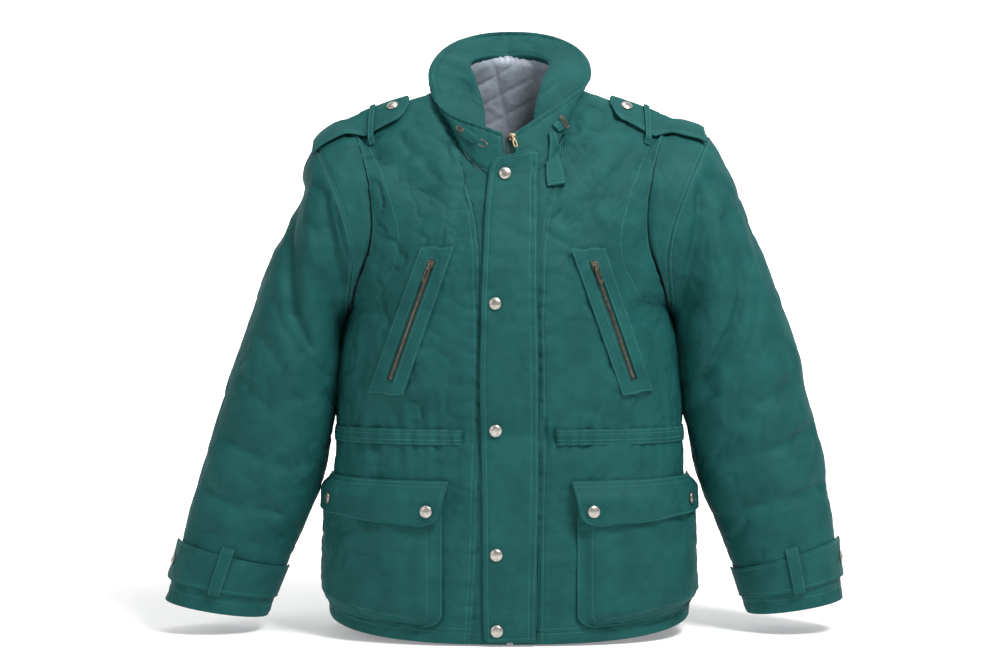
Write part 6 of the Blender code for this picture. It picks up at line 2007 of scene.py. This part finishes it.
def pull_parts(sizes):
    """Pull with a slotted blade, hung on its own pin."""
    length, neck, blade = sizes
    right = [(neck, 0.9), (neck, -3.2), (blade, -6.5)]
    right += [(blade, -6.5 - (length - blade - 6.5) * k / 6) for k in range(1, 6)]
    end = [(blade * math.cos(k * math.pi / 12),
            -length + blade - blade * math.sin(k * math.pi / 12)) for k in range(13)]
    outside = right + end + [(-x, y) for x, y in reversed(right)]
    slot_half, slot_low, slot_high = blade * 0.42, -length + blade * 1.1, -8.6
    inside = []
    middle, reach = (slot_low + slot_high) / 2, (slot_high - slot_low) / 2
    for x, y in outside:
        angle = math.atan2((y - middle) / (length / 2), x / blade)
        across, along = math.cos(angle), math.sin(angle)
        size = (abs(across) ** 5 + abs(along) ** 5) ** (-0.2)
        inside.append((slot_half * across * size, middle + reach * along * size))
    parts = [holed_plate(outside[::-1], inside[::-1], -PULL_HALF_THICK, PULL_HALF_THICK)]
    parts.append(rod((-CHEEK_INNER + 0.12, 0, 0), (CHEEK_INNER - 0.12, 0, 0), 0.58, 14, 0.12))
    return parts


def slider_and_pull(slider_name, pull_name, where, tilt, sizes, look):
    solid([moved(part, where) for part in slider_parts()], f"{slider_name}_body", look, COAT,
          slider_name)
    solid([moved(part, where, (0, 0, PULL_AXIS), tilt) for part in pull_parts(sizes)],
          f"{pull_name}_blade", look, pull_name, pull_name)


def tooth():
    """One cast tooth: a leg on the tape and a broader nose."""
    leg = bar_block(-1.9, 0.2, -0.62, 0.62, -0.85, 0.85, 0.22, 1)
    nose = bar_block(-0.15, 0.95, -0.82, 0.82, -0.98, 0.98, 0.3, 1)
    return leg, nose


def teeth(name, rows_of_frames, look, node_name):
    """Teeth of a zip; each frame holds one tooth's place and the side that it is on."""
    parts = []
    leg, nose = tooth()
    for (origin, axes), sign in rows_of_frames:
        turned = np.column_stack((axes[:, 0] * sign, axes[:, 1] * sign, axes[:, 2]))
        parts += [moved(leg, (origin, turned)), moved(nose, (origin, turned))]
    solid(parts, name, look, COAT, node_name)


def tape(name, sheet, half, stops, low, high):
    across, along = np.meshgrid([half * share for share in (-1, -0.6, -0.3, 0, 0.3, 0.6, 1)], stops)
    shown, under = sheet(across, along, high), sheet(across, along, low)
    uv = np.stack((running(shown, 1), running(shown, 0)), axis=-1)
    thing = shell(name, shown, under, (LOOKS["tape"], LOOKS["tape"]), uv=uv)
    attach(thing, COAT)
    flat = (round(2 * half * MM, 4), round(float(running(shown, 0)[-1].max()) * MM, 3))
    made_sheets.append((thing.name, flat, round(flat[0] * flat[1], 4)))


def zips():
    for side, word in SIDES:
        length = chest_length(side)
        start, end = (SLOT_START + 0.01) * length, (SLOT_END - 0.01) * length
        pitch = 2.5

        def on_line(across, along, lift):
            return chest_sheet(side, chest_line(side, along / length, across), lift)

        tape(f"chest_tape_{word}", on_line, 5.6, np.linspace(start - 6, end + 6, 60), LAY - 0.5,
             LAY + 0.35)
        places = np.arange(start, end, pitch / 2)
        here = on_line(np.zeros(len(places)), places, LAY + 0.75)
        ahead = on_line(np.zeros(len(places)), places - 1.5, LAY + 0.75)
        beside = on_line(np.full(len(places), 1.5 * side), places, LAY + 0.75)
        frames = []
        for index in range(len(places)):
            frames.append((frame_from(here[index], ahead[index] - here[index],
                                      beside[index] - here[index]), 1 if index % 2 else -1))
        teeth(f"chest_teeth_{word}", frames, "bronze", f"chest_chain_{word}")

        up_share = SLOT_START + 0.03
        spot_here, above = (chest_line(side, np.array(value)) for value in (up_share, SLOT_START))
        lift = LAY + FRAME_WALL + 0.5
        where = local_frame(side * spot_here[0], spot_here[1], side * above[0], above[1], lift)
        slider_and_pull(f"chest_slider_{word}", f"chest_pull_{word}", where, 0.0, CHEST_PULL,
                        "bronze")

    tape("zip_tape", front_sheet, 6.4, np.linspace(CHAIN_LOW_Z, CHAIN_TOP_Z - 1, 130), -SHELL + 0.9,
         -SHELL + 1.7)
    places = np.arange(CHAIN_LOW_Z + 2, CHAIN_TOP_Z - 1, 1.6)
    zero = np.zeros(len(places))
    here = front_sheet(zero + 0.01, places, -1.2)
    above = front_sheet(zero + 0.01, places + 1.5, -1.2)
    beside = front_sheet(zero + 1.5, places, -1.2)
    frames = [(frame_from(here[k], above[k] - here[k], beside[k] - here[k]), 1 if k % 2 else -1)
              for k in range(len(places))]
    teeth("zip_teeth", frames, "brass", "zip_chain")
    where = local_frame(0.5, MAIN_SLIDER_Z, 0.5, MAIN_SLIDER_Z + 4, 0.3)
    slider_and_pull("zip_slider", "zip_pull", where, MAIN_PULL_TILT, MAIN_PULL, "brass")


def wire_loop(half_length, half_width, bar, thick, power, cells=72, sides=12):
    """Closed loop of flattened wire, long across its own frame."""
    angle = np.linspace(0, 2 * math.pi, cells, endpoint=False)
    reach = (abs(np.cos(angle)) ** power + abs(np.sin(angle)) ** power) ** (-1 / power)
    length, width = half_length - bar / 2, half_width - bar / 2
    centre = np.stack((length * np.cos(angle) * reach, width * np.sin(angle) * reach), axis=-1)
    run = unit(np.roll(centre, -1, axis=0) - np.roll(centre, 1, axis=0))
    out = np.stack((run[:, 1], -run[:, 0]), axis=-1)
    points = []
    for step in range(cells):
        for turn in range(sides):
            phase = 2 * math.pi * turn / sides
            across = lobe_sign(math.cos(phase)) * bar / 2
            up = lobe_sign(math.sin(phase)) * thick / 2
            points.append((*(centre[step] + out[step] * across), thick / 2 + up))
    faces = []
    for step in range(cells):
        after = (step + 1) % cells
        for turn in range(sides):
            beside = (turn + 1) % sides
            faces.append((step * sides + turn, after * sides + turn,
                          after * sides + beside, step * sides + beside))
    return np.array(points), [face[::-1] for face in faces]


def lobe_sign(value):
    """Squares a round section off a little."""
    return math.copysign(abs(value) ** 0.75, value)


def throat_hardware():
    lift = LAY
    above = lift + STRAP_WALL + 0.5
    where = local_frame(-62, -61, -58, -56, above)
    solid([moved(wire_loop(6.5, 3.4, 1.5, 1.4, 6), where),
           moved(rod((-5.6, 0, 0.7), (5.6, 0, 0.7), 0.55), where)],
          "throat_bar_left_loop", "gunmetal", COAT, "throat_bar_left", angle=60)
    where = local_frame(-34.5, -80.6, -38.5, -77.6, lift - 0.5)
    solid([moved(wire_loop(7.5, 4.6, 1.6, 1.5, 2.2), where, tilt=90)],
          "throat_ring_left_loop", "gunmetal", COAT, "throat_ring_left", angle=60)
    where = local_frame(67, -50, 71, -45, above + 0.8)
    solid([moved(wire_loop(9.5, 4.2, 1.8, 1.6, 5), where),
           moved(rod((-8.4, 0, 0.8), (8.4, 0, 0.8), 0.62), where)],
          "throat_buckle_right_loop", "gunmetal", COAT, "throat_buckle_right", angle=60)


# ---- stage and light, in metres ----

FLOOR_Z = -0.7292
FLOOR_FRONT, FLOOR_BACK = -7.0, 4.4    # along Y, before the backdrop curves up
BEND, BACKDROP_TOP, BACKDROP_HALF = 1.6, 7.0, 8.0
# The backdrop glows more towards its back. Y where that begins and ends, strength there
GLOW = (("From Min", 0.3), ("From Max", 1.8), ("To Min", 0.22), ("To Max", 0.95))
WORLD_STRENGTH = 0.26


def set_stage():
    profile = [(FLOOR_FRONT, 0.0), (FLOOR_BACK, 0.0)]
    profile += [(FLOOR_BACK + BEND * math.sin(k * math.pi / 24),
                 BEND - BEND * math.cos(k * math.pi / 24)) for k in range(1, 13)]
    profile.append((FLOOR_BACK + BEND, BACKDROP_TOP))
    points, faces = [], []
    for x in (-BACKDROP_HALF, BACKDROP_HALF):
        points += [(x, y, z) for y, z in profile]
    count = len(profile)
    for index in range(count - 1):
        faces.append((index, count + index, count + index + 1, index + 1))
    mesh = bpy.data.meshes.new("backdrop")
    mesh.from_pydata([(x, y, z + FLOOR_Z) for x, y, z in points], [], faces)
    mesh.shade_smooth()
    thing = bpy.data.objects.new("backdrop", mesh)
    bpy.context.scene.collection.objects.link(thing)
    look, tree, shader = principled("paper", (0.92, 0.92, 0.92), 0.9, **{"Specular IOR Level": 0.1})
    coords = tree.nodes.new("ShaderNodeTexCoord")
    varied_colour(tree, shader, coords.outputs["Object"], (0.90, 0.90, 0.90), (0.93, 0.93, 0.93),
                  2.0)
    shader.inputs["Emission Color"].default_value = (1, 1, 1, 1)
    split = tree.nodes.new("ShaderNodeSeparateXYZ")
    glow = tree.nodes.new("ShaderNodeMapRange")
    for name, value in GLOW:
        glow.inputs[name].default_value = value
    tree.links.new(coords.outputs["Object"], split.inputs["Vector"])
    tree.links.new(split.outputs["Y"], glow.inputs["Value"])
    tree.links.new(glow.outputs["Result"], shader.inputs["Emission Strength"])
    mesh.materials.append(look)


def lamp(name, where, target, size, energy, colour=(1, 1, 1)):
    light = bpy.data.lights.new(name, "AREA")
    light.shape = "RECTANGLE"
    light.size, light.size_y = size
    light.energy = energy
    light.color = colour
    thing = bpy.data.objects.new(name, light)
    thing.location = where
    aim = Vector(target) - Vector(where)
    thing.rotation_euler = aim.to_track_quat("-Z", "Y").to_euler()
    bpy.context.scene.collection.objects.link(thing)


def set_light():
    world = bpy.data.worlds.new("studio")
    world.use_nodes = True
    world.node_tree.nodes["Background"].inputs["Color"].default_value = (1, 1, 1, 1)
    world.node_tree.nodes["Background"].inputs["Strength"].default_value = WORLD_STRENGTH
    bpy.context.scene.world = world
    lamp("key", (1.0, -1.35, 1.62), (0, 0, -0.22), (0.8, 0.8), 75)
    lamp("fill", (-2.4, -1.9, 0.9), (0, 0, -0.35), (1.4, 1.4), 18)
    lamp("top", (-0.2, 0.1, 2.4), (0, 0, -0.1), (2.0, 1.2), 22)
    bpy.context.scene.view_settings.view_transform = "Standard"


def build():
    front_pieces()
    back_pieces()
    waist_pieces()
    sleeve_pieces()
    collar_pieces()
    placket_piece()
    pocket_pieces()
    strap_pieces()
    throat_pieces()
    chest_frames()
    snaps()
    zips()
    throat_hardware()
    set_stage()
    set_light()


build()
for name, flat, area in made_sheets:
    print("sheet", name, flat, area)
total = 0
for thing in bpy.data.objects:
    if thing.type == "MESH" and not thing.hide_render:
        total += sum(len(face.vertices) - 2 for face in thing.data.polygons)
print("triangles", total)
bpy.context.view_layer.update()
